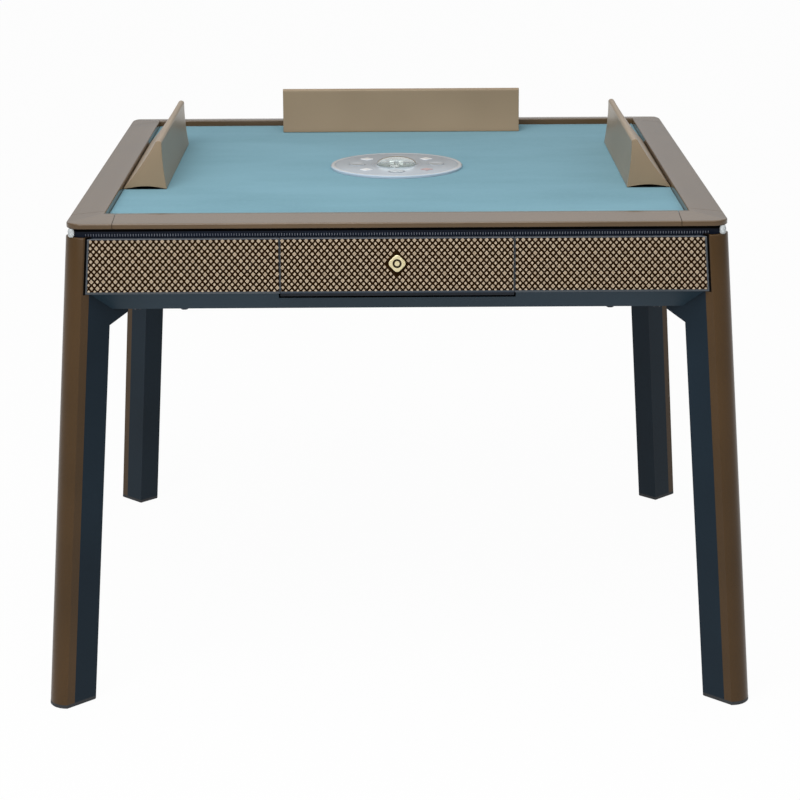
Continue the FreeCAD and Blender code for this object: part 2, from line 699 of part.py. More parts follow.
def make_base_pan():
    """Sheet pan with sloping sides, slotted for the legs, cut down below the drawers and
    vented under the drum."""
    part = body("base_pan")
    plan = sketch(part, "XY_Plane", ("0", "0", PAN_FOOT))
    rectangle(plan, f"-{PAN_HALF}", f"-{PAN_HALF}", PAN_HALF, PAN_HALF)
    block = pad(part, plan, "Dim.pan_depth", taper="atan(Dim.pan_slope/Dim.pan_depth)")
    shell(part, block, lambda n: n.z > 0.9, "Dim.pan_wall")
    slot = sketch(part, "XY_Plane", ("0", "0", PANEL_FOOT))
    near = (f"({BRACKET_SLOT}*sqrt(2)-{FLANK})/2", f"({BRACKET_SLOT}*sqrt(2)+{FLANK})/2")
    outline(slot, (
        near,
        swapped(near),
        (HALF + "+" + FLANK, HALF),
        (HALF, HALF + "+" + FLANK),
    ))
    repeat(part, [pocket(part, slot)])
    mouth = f"({FRONT_HALF}+Dim.lip_gap/2)"
    sill = f"({PANEL_FOOT}-Dim.drawer_lip-Dim.lip_gap)"
    cut = sketch(part, "XZ_Plane", ("0", "0", LEDGE_INNER))
    rectangle(cut, f"-{mouth}", sill, mouth, f"{PANEL_FOOT}+Dim.drawer_lip")
    repeat(part, [pocket(part, cut, "Dim.rail_width", back=True)])
    vents = sketch(part, "XY_Plane", ("0", "0", PAN_FLOOR))
    for index in range(int(value("Dim.vent_count"))):
        x = f"(Dim.vent_pitch*({index}-(Dim.vent_count-1)/2))"
        rectangle(vents, f"{x}-Dim.vent_width/2", "Dim.vent_radius-Dim.vent_length/2",
                  f"{x}+Dim.vent_width/2", "Dim.vent_radius+Dim.vent_length/2")
    repeat(part, [pocket(part, vents)])
    inlet = sketch(part, "XY_Plane", ("0", "0", PAN_FLOOR))
    width = "(Dim.inlet_width/2+Dim.fit_gap)"
    depth = "(Dim.inlet_depth/2+Dim.fit_gap)"
    rectangle(inlet, f"{INLET_PLACE}-{width}", f"{INLET_PLACE}-{depth}",
              f"{INLET_PLACE}+{width}", f"{INLET_PLACE}+{depth}")
    pocket(part, inlet)


def make_chassis_corners():
    """Four welded boxes that carry the upper frame, the drawer channels and the legs. Each is
    a closed wall with a notch for the leg bracket."""
    part = body("chassis_corners")
    plan = sketch(part, "XY_Plane", ("0", "0", PAN_FLOOR))
    notch = (f"({BRACKET_SLOT}*sqrt(2)-{FLANK})/2", f"({BRACKET_SLOT}*sqrt(2)+{FLANK})/2")
    outline(plan, (
        (BAY_HALF, CHASSIS_FACE),
        (BAY_HALF, CHEEK),
        (CHEEK, BAY_HALF),
        (CHASSIS_FACE, BAY_HALF),
        (CHASSIS_FACE, f"{CHASSIS_FACE}-{FLANK}"),
        swapped(notch),
        notch,
        (f"{CHASSIS_FACE}-{FLANK}", CHASSIS_FACE),
    ))
    block = pad(part, plan, f"{LEG_TOP}-{PAN_FLOOR}")
    walls = shell(part, block, lambda n: abs(n.z) > 0.9, "Dim.chassis_wall")
    repeat(part, [block, walls])


def make_frame_screws():
    """Hexagon heads of the screws that hold the pan, two near each end of each side."""
    part = body("frame_screws")
    plan = sketch(part, "XY_Plane", ("0", "0", PAN_FOOT))
    middle = f"-({HALF}-Dim.screw_in)"
    for place in ("screw_near", "screw_far"):
        for sign in ("", "-"):
            across = f"{sign}({HALF}-Dim.{place})"
            outline(plan, around_place(across, middle, "Dim.screw_radius", 6))
    repeat(part, [pad(part, plan, "Dim.screw_height", back=True)])


def channel_section(drawing, sign):
    """The C of one drawer channel, open towards the drawer box."""
    inner = f"({BOX_HALF}+Dim.channel_lap)"
    web = f"({BAY_HALF}-Dim.channel_wall)"
    gap = "Dim.slide_gap"
    wall = "Dim.channel_wall"
    top = f"({TONGUE_FOOT}+Dim.tongue_height+{gap})"
    corners = (
        (inner, f"{TONGUE_FOOT}-{gap}-{wall}"),
        (BAY_HALF, f"{TONGUE_FOOT}-{gap}-{wall}"),
        (BAY_HALF, f"{top}+{wall}"),
        (inner, f"{top}+{wall}"),
        (inner, top),
        (web, top),
        (web, f"{TONGUE_FOOT}-{gap}"),
        (inner, f"{TONGUE_FOOT}-{gap}"),
    )
    outline(drawing, [(f"{sign}{x}", z) for x, z in corners])


def make_drawer_channels():
    """A pair of C channels on the cheeks of each drawer bay."""
    part = body("drawer_channels")
    section = sketch(part, "XZ_Plane", ("0", "0", CHASSIS_FACE))
    channel_section(section, "")
    channel_section(section, "-")
    repeat(part, [pad(part, section, f"{CHASSIS_FACE}-{CHEEK}", back=True)])


def facing_recess(part, left, right_top, right_foot):
    """Sinks the bed of the patterned facing into a panel, inside its rims."""
    drop = f"(Dim.panel_height/cos(atan({LEAN}))-Dim.rim_foot)"
    face = leaning_sketch(part)
    outline(face, (
        (left, "-Dim.rim_top"),
        (left, f"-{drop}"),
        (right_foot, f"-{drop}"),
        (right_top, "-Dim.rim_top"),
    ))
    return pocket(part, face, "Dim.inset_depth")


def make_side_panels(side):
    """The two fixed panels beside a drawer. They lean out with the legs, and their outer ends
    are cut parallel to the legs' flanks."""
    part = body(f"side_panels_{SIDES[side]}", side)
    section = outline(sketch(part, "YZ_Plane", ("0", "0", BAY_START)), (
        (f"-{PANEL_FACE}", PANEL_TOP),
        (f"-{PANEL_FOOT_FACE}", PANEL_FOOT),
        (f"-({PANEL_FOOT_FACE}-Dim.panel_thick)", PANEL_FOOT),
        (f"-({PANEL_FACE}-Dim.panel_thick)", PANEL_TOP),
    ))
    slab = pad(part, section, f"{HALF}-{BAY_START}")
    rise = f"({PANEL_FOOT}+Dim.rib_rise)"
    rib = sketch(part, "XY_Plane", ("0", "0", rise))
    rectangle(rib, BAY_HALF, f"-({PANEL_FACE}-Dim.panel_thick/2)",
              f"{CHASSIS_FACE}-{FLANK}", f"-{CHASSIS_FACE}")
    rail = pad(part, rib, "Dim.rib_height")
    end = sketch(part, "XY_Plane", ("0", "0", "Dim.rail_top"))
    outline(end, (
        (f"{CHASSIS_FACE}-Dim.rail_width-{FLANK}", f"-({CHASSIS_FACE}-Dim.rail_width)"),
        (f"{HALF}+Dim.rail_width-{FLANK}", f"-({HALF}+Dim.rail_width)"),
        (f"{HALF}+Dim.rail_width", f"-({HALF}+Dim.rail_width)"),
        (f"{HALF}+Dim.rail_width", f"-({CHASSIS_FACE}-Dim.rail_width)"),
    ))
    cut = pocket(part, end)
    reach = f"({PANEL_FACE}-{FLANK}-Dim.rim_end)"
    slope = f"{LEAN}*Dim.panel_height"
    bed = facing_recess(part, f"{BAY_START}+Dim.rim_side", reach, f"{reach}+{slope}")
    mirror(part, [slab, rail, cut, bed])


def make_drawer_face(side):
    """A drawer front that continues the panels beside it, with an upright back."""
    part = body(f"drawer_face_{SIDES[side]}", side)
    section = outline(sketch(part, "YZ_Plane"), (
        (f"-{PANEL_FACE}", PANEL_TOP),
        (f"-{PANEL_FOOT_FACE}", PANEL_FOOT),
        (f"-{BOX_FRONT}", PANEL_FOOT),
        (f"-{BOX_FRONT}", PANEL_TOP),
    ))
    pad(part, section, "Dim.drawer_width", symmetric=True)
    edge = f"({FRONT_HALF}-Dim.rim_side)"
    facing_recess(part, f"-{edge}", edge, edge)


def make_drawer_box(side):
    """An open box with a finger lip below the front and a slide tongue on each side."""
    part = body(f"drawer_box_{SIDES[side]}", side)
    floor = sketch(part, "XY_Plane", ("0", "0", BOX_FLOOR))
    rectangle(floor, f"-{BOX_HALF}", f"-{BOX_FRONT}", BOX_HALF, f"-{BOX_BACK}")
    block = pad(part, floor, "Dim.box_height")
    shell(part, block, lambda n: n.z > 0.9, "Dim.box_wall")
    lip = outline(sketch(part, "YZ_Plane"), (
        (f"-{PANEL_FOOT_FACE}", BOX_FLOOR),
        (f"-{PANEL_FOOT_FACE}", f"{BOX_FLOOR}-Dim.drawer_lip"),
        (f"-({BOX_FRONT}-Dim.box_face)", f"{BOX_FLOOR}-Dim.drawer_lip"),
        (f"-({BOX_FRONT}-Dim.box_face)", BOX_FLOOR),
    ))
    pad(part, lip, "Dim.drawer_width", symmetric=True)
    tongues = sketch(part, "XZ_Plane", ("0", "0", CHASSIS_FACE))
    for sign in ("", "-"):
        rectangle(tongues, f"{sign}{BOX_HALF}", TONGUE_FOOT, f"{sign}{FRONT_HALF}",
                  f"{TONGUE_FOOT}+Dim.tongue_height")
    pad(part, tongues, f"{CHASSIS_FACE}-{BOX_BACK}", back=True)


def make_drawer_badge(side):
    """A plain lozenge with blunt corners on the middle of a drawer front."""
    part = body(f"drawer_badge_{SIDES[side]}", side)
    reach = "Dim.badge_span/2"
    middle = f"(Dim.panel_height/2/cos(atan({LEAN}))-Dim.badge_rise)"
    face = leaning_sketch(part, "-Dim.inset_depth")
    corners = []
    for x_way, y_way in ((1, 0), (0, 1), (-1, 0), (0, -1)):
        for turn in (-1, 1):
            out_x = f"{x_way}*{reach}-{turn * y_way}*Dim.badge_tip/2"
            out_y = f"{y_way}*{reach}+{turn * x_way}*Dim.badge_tip/2-{middle}"
            corners.append((out_x, out_y))
    pad(part, outline(face, corners), "Dim.badge_thick")


# Loose racks ----------------------------------------------------------------------------

def make_tile_rack(side, shift, gap):
    """A three-sided bar: an arched foot, a steep hollowed face towards the table's middle and
    a hollowed slope towards the player."""
    part = body(f"tile_rack_{SIDES[side]}", side)
    outer = f"({RAIL_INNER}-{gap})"
    inner = f"({outer}-Dim.rack_base)"
    half_arch = "(Dim.rack_base/2-Dim.rack_land)"
    arch = f"(({half_arch}^2+Dim.rack_arch^2)/(2*Dim.rack_arch))"
    ridge = f"({inner}+Dim.rack_lean)"
    crest = "(Dim.ridge_round-sqrt(Dim.ridge_round^2-Dim.rack_ridge^2/4))"
    ridge_low = f"{REST}+Dim.rack_height-{crest}"
    section = outline(sketch(part, "YZ_Plane", ("0", "0", shift)), (
        (f"-{outer}", REST),
        (f"-({outer}-Dim.rack_land)", REST),
        (f"-({inner}+Dim.rack_land)", REST, arch, "right"),
        (f"-{inner}", REST),
        (f"-{inner}", f"{REST}+Dim.rack_toe"),
        (f"-{ridge}", ridge_low, "Dim.inner_hollow", "right"),
        (f"-({ridge}+Dim.rack_ridge)", ridge_low, "Dim.ridge_round", "left"),
        (f"-{outer}", f"{REST}+Dim.rack_toe", "Dim.outer_hollow", "right"),
    ))
    pad(part, section, "Dim.rack_length", symmetric=True)


# Control disc and lift ------------------------------------------------------------------

def around(x, y, quarter):
    """A place turned by quarter turns about the centre."""
    return ((x, y), (f"-({y})", x), (f"-({x})", f"-({y})"), (y, f"-({x})"))[quarter]


def make_control_disc():
    """A dished disc: a rim on the felt, a thin skin with four button holes, and a shallow seat
    for the dice cover."""
    part = body("control_disc")
    rim = f"({DISC_RADIUS}-Dim.disc_rim)"
    section = outline(sketch(part, "XZ_Plane"), (
        ("0", DISC_UNDER),
        (rim, DISC_UNDER),
        (rim, REST),
        (DISC_RADIUS, REST),
        (DISC_RADIUS, DISC_TOP),
        ("0", DISC_TOP),
    ))
    disc = revolve(part, section)
    top = value(DISC_TOP)
    edge = value(DISC_RADIUS)
    soften(part, disc, "Chamfer",
           lambda p, t: abs(p.z - top) < NEAR and math.hypot(p.x, p.y) > edge - NEAR,
           "Dim.disc_bevel")
    holes = sketch(part, "XY_Plane", ("0", "0", DISC_TOP))
    for quarter in range(4):
        place = around("0", f"-{BUTTON_PLACE}", quarter)
        circle(holes, place[0], place[1], "Dim.button_radius+Dim.button_gap")
    pocket(part, holes)
    seat = sketch(part, "XY_Plane", ("0", "0", DISC_TOP))
    circle(seat, "0", "0", "Dim.dome_radius+Dim.fit_gap")
    pocket(part, seat, "Dim.disc_skin/2")


def make_dice_cover():
    """A clear cap with a sloping shoulder, a flat top and a straight bore, seated in the disc."""
    part = body("dice_cover")
    foot = f"({DISC_TOP}-Dim.disc_skin/2)"
    top = f"({DISC_TOP}+Dim.dome_height)"
    bore = "(Dim.dome_radius-Dim.dome_slope-Dim.dome_wall)"
    revolve(part, outline(sketch(part, "XZ_Plane"), (
        (bore, foot),
        ("Dim.dome_radius", foot),
        ("Dim.dome_radius", f"{DISC_TOP}+Dim.dome_brim"),
        ("Dim.dome_radius-Dim.dome_slope", top),
        ("0", top),
        ("0", f"{top}-Dim.dome_wall"),
        (bore, f"{top}-Dim.dome_wall"),
    )))


def make_dice():
    """Two dice under the cover."""
    part = body("dice")
    floor = f"({DISC_TOP}-Dim.disc_skin/2)"
    plan = sketch(part, "XY_Plane", ("0", "0", floor))
    half = "(Dim.dice_size/2)"
    for sign in ("", "-"):
        x = f"({sign}Dim.dice_spread)"
        y = f"({sign}Dim.dice_size/4)"
        rectangle(plan, f"{x}-{half}", f"{y}-{half}", f"{x}+{half}", f"{y}+{half}")
    cubes = pad(part, plan, "Dim.dice_size")
    soften(part, cubes, "Chamfer", lambda p, t: True, "Dim.dice_bevel")


def make_direction_lenses():
    """Four lozenge lenses on the disc, one on each diagonal."""
    part = body("direction_lenses")
    plan = sketch(part, "XY_Plane", ("0", "0", DISC_TOP))
    reach = "(Dim.lens_side/sqrt(2))"
    place = f"(({DISC_RADIUS}-Dim.lens_inset)/sqrt(2))"
    outline(plan, (
        (f"{place}+{reach}", place),
        (place, f"{place}+{reach}"),
        (f"{place}-{reach}", place),
        (place, f"{place}-{reach}"),
    ))
    repeat(part, [pad(part, plan, "Dim.lens_height")])


def make_disc_button(side):
    """A round cap with two retaining lugs below the disc's skin."""
    part = body(f"disc_button_{SIDES[side]}", side)
    foot = f"({DISC_UNDER}-Dim.button_gap-Dim.lug_thick)"
    plan = sketch(part, "XY_Plane", ("0", "0", foot))
    circle(plan, "0", f"-{BUTTON_PLACE}", "Dim.button_radius")
    pad(part, plan, f"{DISC_TOP}+Dim.button_proud-{foot}")
    lugs = sketch(part, "XY_Plane", ("0", "0", foot))
    rectangle(lugs, "-Dim.button_lug", f"-{BUTTON_PLACE}-Dim.lug_width/2",
              "Dim.button_lug", f"-{BUTTON_PLACE}+Dim.lug_width/2")
    pad(part, lugs, "Dim.lug_thick")


def make_lift_rod():
    part = body("lift_rod")
    plan = sketch(part, "XY_Plane", ("0", "0", DISC_UNDER))
    circle(plan, "0", "0", "Dim.rod_radius")
    pad(part, plan, "Dim.rod_length", back=True)


def make_lift_column():
    """The fixed tube that guides the lift rod, on a square base that also carries the drum."""
    part = body("lift_column")
    base = sketch(part, "XY_Plane", ("0", "0", PAN_FLOOR))
    rectangle(base, "-Dim.column_foot", "-Dim.column_foot", "Dim.column_foot", "Dim.column_foot")
    pad(part, base, "Dim.column_base")
    tube = sketch(part, "XY_Plane", ("0", "0", PAN_FLOOR))
    circle(tube, "0", "0", COLUMN_RADIUS)
    pad(part, tube, "Dim.column_height")
    bore = sketch(part, "XY_Plane", ("0", "0", f"{PAN_FLOOR}+Dim.column_height"))
    circle(bore, "0", "0", "Dim.rod_radius+Dim.fit_gap")
    pocket(part, bore)


# Shuffling drum -------------------------------------------------------------------------

def make_tile_drum():
    """A turning bowl with a hub round the lift column and raised paddles on its floor."""
    part = body("tile_drum")
    bore = f"({COLUMN_RADIUS}+Dim.hub_gap)"
    hub = "Dim.hub_radius"
    wall = "Dim.drum_wall"
    inner = f"({DRUM_RADIUS}-{wall})"
    foot = f"({PAN_FLOOR}+Dim.column_base+Dim.fit_gap)"
    revolve(part, outline(sketch(part, "XZ_Plane"), (
        (bore, foot),
        (hub, foot),
        (hub, DRUM_FOOT),
        (DRUM_RADIUS, DRUM_FOOT),
        (DRUM_RADIUS, f"{DRUM_FOOT}+Dim.drum_depth"),
        (inner, f"{DRUM_FOOT}+Dim.drum_depth"),
        (inner, f"{DRUM_FOOT}+{wall}"),
        (bore, f"{DRUM_FOOT}+{wall}"),
    )))
    gap = "Dim.paddle_width"
    paddles = sketch(part, "XY_Plane", ("0", "0", f"{DRUM_FOOT}+{wall}"))
    rectangle(paddles, "Dim.paddle_start", f"-{gap}/2", f"{inner}-{gap}*4", f"{gap}/2")
    repeat(part, [pad(part, paddles, "Dim.paddle_height")], "Dim.paddle_count")


def make_drive_wheel():
    """A friction wheel beside the drum's rim, with its shaft, drawn on +X and turned onto the
    diagonal."""
    part = body("drive_wheel", turn=45.0)
    foot = f"({DRUM_FOOT}+Dim.shaft_radius)"
    top = f"({foot}+Dim.wheel_thick)"
    section = sketch(part, "XZ_Plane", (WHEEL_PLACE, "0", "0"))
    revolve(part, outline(section, (
        ("0", f"{PAN_FLOOR}+Dim.motor_height+Dim.fit_gap"),
        ("Dim.shaft_radius", f"{PAN_FLOOR}+Dim.motor_height+Dim.fit_gap"),
        ("Dim.shaft_radius", foot),
        ("Dim.wheel_radius", foot),
        ("Dim.wheel_radius", top),
        ("0", top),
    )))


def make_drum_motor():
    """The square gear motor that turns the friction wheel."""
    part = body("drum_motor", turn=45.0)
    plan = sketch(part, "XY_Plane", ("0", "0", PAN_FLOOR))
    half = "Dim.motor_width/2"
    rectangle(plan, f"{WHEEL_PLACE}-{half}", f"-{half}", f"{WHEEL_PLACE}+{half}", half)
    pad(part, plan, "Dim.motor_height")


def make_power_inlet():
    """A socket through the pan's floor, its mouth downwards, with a flange outside."""
    part = body("power_inlet")
    flange = sketch(part, "XY_Plane", ("0", "0", PAN_FOOT))
    place = INLET_PLACE
    width = "(Dim.inlet_width/2+Dim.inlet_flange)"
    depth = "(Dim.inlet_depth/2+Dim.inlet_flange)"
    rectangle(flange, f"{place}-{width}", f"{place}-{depth}", f"{place}+{width}", f"{place}+{depth}")
    pad(part, flange, "Dim.inlet_plate", back=True)
    housing = sketch(part, "XY_Plane", ("0", "0", PAN_FOOT))
    rectangle(housing, f"{place}-Dim.inlet_width/2", f"{place}-Dim.inlet_depth/2",
              f"{place}+Dim.inlet_width/2", f"{place}+Dim.inlet_depth/2")
    pad(part, housing, "Dim.inlet_height")
    mouth = sketch(part, "XY_Plane", ("0", "0", f"{PAN_FOOT}-Dim.inlet_plate"))
    half_width = "(Dim.inlet_width/2-Dim.inlet_wall)"
    half_depth = "(Dim.inlet_depth/2-Dim.inlet_wall)"
    rectangle(mouth, f"{place}-{half_width}", f"{place}-{half_depth}",
              f"{place}+{half_width}", f"{place}+{half_depth}")
    pocket(part, mouth, "Dim.inlet_height+Dim.inlet_plate-Dim.inlet_wall", back=True)


def check_and_export():
    """Stops on any failed feature or bad solid, and writes each sub-part to its own file."""
    failed = [item.Label for item in doc.Objects
              if {"Invalid", "Error"} & set(item.State)]
    if failed:
        raise RuntimeError(f"failed features: {failed}")
    os.makedirs("parts", exist_ok=True)
    for part in nodes:
        shape = part.Shape
        if shape.isNull() or not shape.isValid() or not shape.Solids:
            raise RuntimeError(f"{part.Label}: no valid solid")
        shape.exportStep(f"parts/{part.Label}.step")


for turn in range(4):
    make_rail(turn)
    make_rail_corner(turn)
make_playing_board()
make_felt_mat()
make_upper_frame()
make_ribbed_strips()
make_corner_spacers()
for turn in range(4):
    make_leg_post(turn)
    make_leg_cover(turn)
make_leg_feet()
make_leg_brackets()
make_base_pan()
make_chassis_corners()
make_frame_screws()
make_drawer_channels()
for turn in range(4):
    make_side_panels(turn)
    make_drawer_face(turn)
    make_drawer_box(turn)
    make_drawer_badge(turn)
make_tile_rack(1, "Dim.right_rack_shift", "Dim.side_rack_gap")
make_tile_rack(2, "-Dim.back_rack_shift", "Dim.back_rack_gap")
make_tile_rack(3, "-Dim.left_rack_shift", "Dim.side_rack_gap")
make_control_disc()
make_dice_cover()
make_dice()
make_direction_lenses()
for turn in range(4):
    make_disc_button(turn)
make_lift_rod()
make_lift_column()
make_tile_drum()
make_drive_wheel()
make_drum_motor()
make_power_inlet()
doc.recompute()
check_and_export()
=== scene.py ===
"""Finishes and fine forms of a square game table: bronze rails and legs, slate case, patterned
drawer fronts, ribbed trim, felt top, loose tile racks and a glossy control disc."""
import math

import bmesh
import bpy
import numpy as np
from mathutils import Matrix, Vector

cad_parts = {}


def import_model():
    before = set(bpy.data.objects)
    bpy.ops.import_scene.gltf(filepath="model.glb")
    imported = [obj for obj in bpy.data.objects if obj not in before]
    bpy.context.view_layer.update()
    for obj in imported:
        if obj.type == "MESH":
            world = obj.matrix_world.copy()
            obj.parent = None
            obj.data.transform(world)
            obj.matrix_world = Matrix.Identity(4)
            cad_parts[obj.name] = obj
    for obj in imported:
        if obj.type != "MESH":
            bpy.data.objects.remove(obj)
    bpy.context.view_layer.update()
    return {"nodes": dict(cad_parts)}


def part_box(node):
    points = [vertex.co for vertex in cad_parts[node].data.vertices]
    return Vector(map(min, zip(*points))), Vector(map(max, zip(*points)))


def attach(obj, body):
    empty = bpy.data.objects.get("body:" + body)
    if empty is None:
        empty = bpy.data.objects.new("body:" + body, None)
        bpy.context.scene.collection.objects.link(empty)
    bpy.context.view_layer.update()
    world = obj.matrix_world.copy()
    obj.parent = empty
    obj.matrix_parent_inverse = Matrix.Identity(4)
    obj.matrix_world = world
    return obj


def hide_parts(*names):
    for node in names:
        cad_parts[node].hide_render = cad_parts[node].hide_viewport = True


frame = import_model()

MM = 0.001
SIDES = ("front", "right", "back", "left")
CORNERS = ("back_right", "back_left", "front_left", "front_right")


def low(node):
    return np.array(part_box(node)[0])


def high(node):
    return np.array(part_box(node)[1])


# Levels and places, in metres, read from the frame where it has them -------------------

HALF = high("rail_right")[0]
SEAT = low("rail_front")[2]
RAIL_TOP = high("rail_front")[2]
RAIL_INNER = -high("rail_left")[0]
RAIL_END = high("rail_front")[0]
BLOCK_START = low("rail_corner_back_right")[0]
BLOCK_ROUND = 25 * MM
RAIL_FALL = 6 * MM
JOINT_LINE = 0.5 * MM
EDGE_ROUND = 2.4 * MM
FOOT_ROUND = 1.2 * MM
FELT_TOP = high("felt_mat")[2]
FELT_HALF = high("felt_mat")[0]
WELL = 105 * MM
POST_TOP = high("leg_post_back_right")[2]
COVER_TOP = high("leg_cover_back_right")[2]
LEG_FOOT = low("leg_cover_back_right")[2]
NOSE_REACH = HALF + 1.9 * MM
NOSE = 30 * MM
LEAN = (high("leg_feet")[0] - NOSE_REACH) / POST_TOP
COVER_WRAP = 10.2 * MM
COVER_WALL = 3 * MM
PANEL_TOP = high("drawer_face_front")[2]
PANEL_FOOT = low("drawer_face_front")[2]
PANEL_FOOT_FACE = -low("drawer_face_front")[1]
PANEL_FACE = PANEL_FOOT_FACE - LEAN * (PANEL_TOP - PANEL_FOOT)
FRONT_HALF = high("drawer_face_front")[0]
BED_DEPTH = 1.0 * MM
RIM_TOP = 0.8 * MM
RIM_FOOT = 3.0 * MM
RIM_SIDE = 0.9 * MM
RIM_END = 2.6 * MM
SEAM = 0.8 * MM
LEG_GAP = 0.9 * MM
BADGE_SPAN = 25.8 * MM
BADGE_RISE = 3.3 * MM
BADGE_MIDDLE = (PANEL_TOP - PANEL_FOOT) / 2 / math.cos(math.atan(LEAN)) - BADGE_RISE
DISC_TOP = high("control_disc")[2]
DISC_RADIUS = high("control_disc")[0]
BUTTON_REACH = 67 * MM


# Meshes ---------------------------------------------------------------------------------

def srgb(red, green, blue):
    """A colour picked on a 0 to 255 scale, as the linear colour that a shader takes."""
    c = np.array((red, green, blue)) / 255
    linear = np.where(c <= 0.04045, c / 12.92, ((c + 0.055) / 1.055) ** 2.4)
    return (*linear.tolist(), 1.0)


def turned(points, quarter_turns):
    """Points turned about the table's centre line by quarter turns."""
    angle = quarter_turns * math.pi / 2
    cos, sin = round(math.cos(angle)), round(math.sin(angle))
    x, y, z = np.moveaxis(np.asarray(points, float), -1, 0)
    return np.stack((cos * x - sin * y, sin * x + cos * y, z), -1)


def grid_faces(rows, columns, wrap_rows=False, wrap_columns=False, first=0):
    """Quads between neighbours of a grid whose points are numbered row by row from first."""
    r, c = np.meshgrid(np.arange(rows - (not wrap_rows)), np.arange(columns - (not wrap_columns)),
                       indexing="ij")
    r, c = r.ravel(), c.ravel()
    after_r, after_c = (r + 1) % rows, (c + 1) % columns
    corners = (r * columns + c, r * columns + after_c, after_r * columns + after_c, after_r * columns + c)
    return np.stack(corners, -1) + first


def build(name, points, faces, body, slot, finishes, picks=None, crease=35.0, replaces=(), turn_out=True):
    """A piece from points and faces, its faces turned outwards, creased where they meet sharply."""
    mesh = bpy.data.meshes.new(name)
    mesh.from_pydata(np.asarray(points, float).reshape(-1, 3).tolist(), [], [list(f) for f in faces])
    for finish in finishes:
        mesh.materials.append(finish)
    if picks is not None:
        mesh.polygons.foreach_set("material_index", np.asarray(picks, np.int32))
    if turn_out:
        shell = bmesh.new()
        shell.from_mesh(mesh)
        bmesh.ops.recalc_face_normals(shell, faces=shell.faces)
        shell.to_mesh(mesh)
        shell.free()
    mesh.shade_smooth()
    mesh.set_sharp_from_angle(angle=math.radians(crease))
    piece = bpy.data.objects.new(name, mesh)
    bpy.context.scene.collection.objects.link(piece)
    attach(piece, body)
    if replaces:
        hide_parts(*replaces)
    return piece


def capped_faces(rows, columns, first=0):
    """The faces of a closed bar: quads between its rows, and a flat cap at each end."""
    last = first + (rows - 1) * columns
    caps = [list(range(start, start + columns)) for start in (first, last)]
    return grid_faces(rows, columns, wrap_columns=True, first=first).tolist() + caps


def capped_bar(name, rows, *rest, **more):
    """A closed bar: rows of one section, joined row to row, with a flat cap at each end."""
    rows = np.asarray(rows)
    return build(name, rows, capped_faces(*rows.shape[:2]), *rest, **more)


def at_height(plan, z):
    """Plan points with one height, or with a height for each."""
    return np.concatenate((plan, np.broadcast_to(z, plan.shape[:1])[:, None]), 1)


def round_of(radii, heights, segments, centre=(0.0, 0.0)):
    """Rows of rings about an upright axis, one for each radius and height."""
    angle = np.linspace(0, 2 * math.pi, segments, endpoint=False)
    ring = np.stack((np.cos(angle), np.sin(angle), np.zeros(segments)), -1)
    rows = np.asarray(radii)[:, None, None] * ring
    rows[..., 2] = np.asarray(heights)[:, None]
    return rows + (*centre, 0.0)


def turned_solid(name, profile, segments, *rest, centre=(0.0, 0.0), **more):
    """A closed solid of revolution: its profile runs from the axis below to the axis above, and
    the two ends are drawn together to single points."""
    profile = np.asarray(profile)
    rings = round_of(profile[1:-1, 0], profile[1:-1, 1], segments, centre).reshape(-1, 3)
    count = len(profile) - 2
    points = np.vstack((rings, (*centre, profile[0, 1]), (*centre, profile[-1, 1])))
    step = np.arange(segments)
    after = (step + 1) % segments
    top_ring = (count - 1) * segments
    foot = np.stack((np.full(segments, count * segments), after, step), -1)
    tip = np.stack((np.full(segments, count * segments + 1), top_ring + step, top_ring + after), -1)
    faces = grid_faces(count, segments, wrap_columns=True).tolist() + foot.tolist() + tip.tolist()
    return build(name, points, faces, *rest, **more)


def rounding(radius, steps):
    """A rounded edge, from its side up to its top: how far in each step lies, and how far below
    the top, over a quarter circle of the given radius."""
    angle = np.linspace(0, math.pi / 2, steps)
    return list(zip((1 - np.cos(angle)) * radius, (1 - np.sin(angle)) * radius))


def arc(start, end, radius, left, steps):
    """Points after start, up to end, on the short arc with its centre left or right of the path."""
    start, end = np.asarray(start, float), np.asarray(end, float)
    chord = end - start
    length = np.linalg.norm(chord)
    across = np.array((-chord[1], chord[0])) / length * (1 if left else -1)
    centre = (start + end) / 2 + across * math.sqrt(max(radius ** 2 - length ** 2 / 4, 0))
    half = math.asin(min(length / 2 / radius, 1)) * (1 if left else -1)
    angle = np.linspace(0, 2 * half, steps + 1)[1:, None]
    spoke = start - centre
    side = np.array((-spoke[1], spoke[0]))
    return centre + spoke * np.cos(angle) + side * np.sin(angle)


def softened(outline, radius, steps=4, least_turn=12.0):
    """A closed outline with each corner swapped for a short curve: a quadratic blend between
    the two places that lie radius before and after the corner."""
    points = np.asarray(outline, float)
    before, after = np.roll(points, 1, 0), np.roll(points, -1, 0)
    back, ahead = before - points, after - points
    long_back, long_ahead = np.linalg.norm(back, axis=1), np.linalg.norm(ahead, axis=1)
    cosine = -(back * ahead).sum(1) / (long_back * long_ahead)
    sharp = np.degrees(np.arccos(np.clip(cosine, -1, 1))) > least_turn
    reach = np.minimum(radius, 0.45 * np.minimum(long_back, long_ahead)) * sharp
    enter = points + back / long_back[:, None] * reach[:, None]
    leave = points + ahead / long_ahead[:, None] * reach[:, None]
    t = np.linspace(0, 1, steps)[None, :, None]
    curve = (1 - t) ** 2 * enter[:, None] + 2 * t * (1 - t) * points[:, None] + t ** 2 * leave[:, None]
    keep = np.zeros(curve.shape[:2], bool)
    keep[:, 0] = True
    keep[sharp] = True
    return curve[keep]


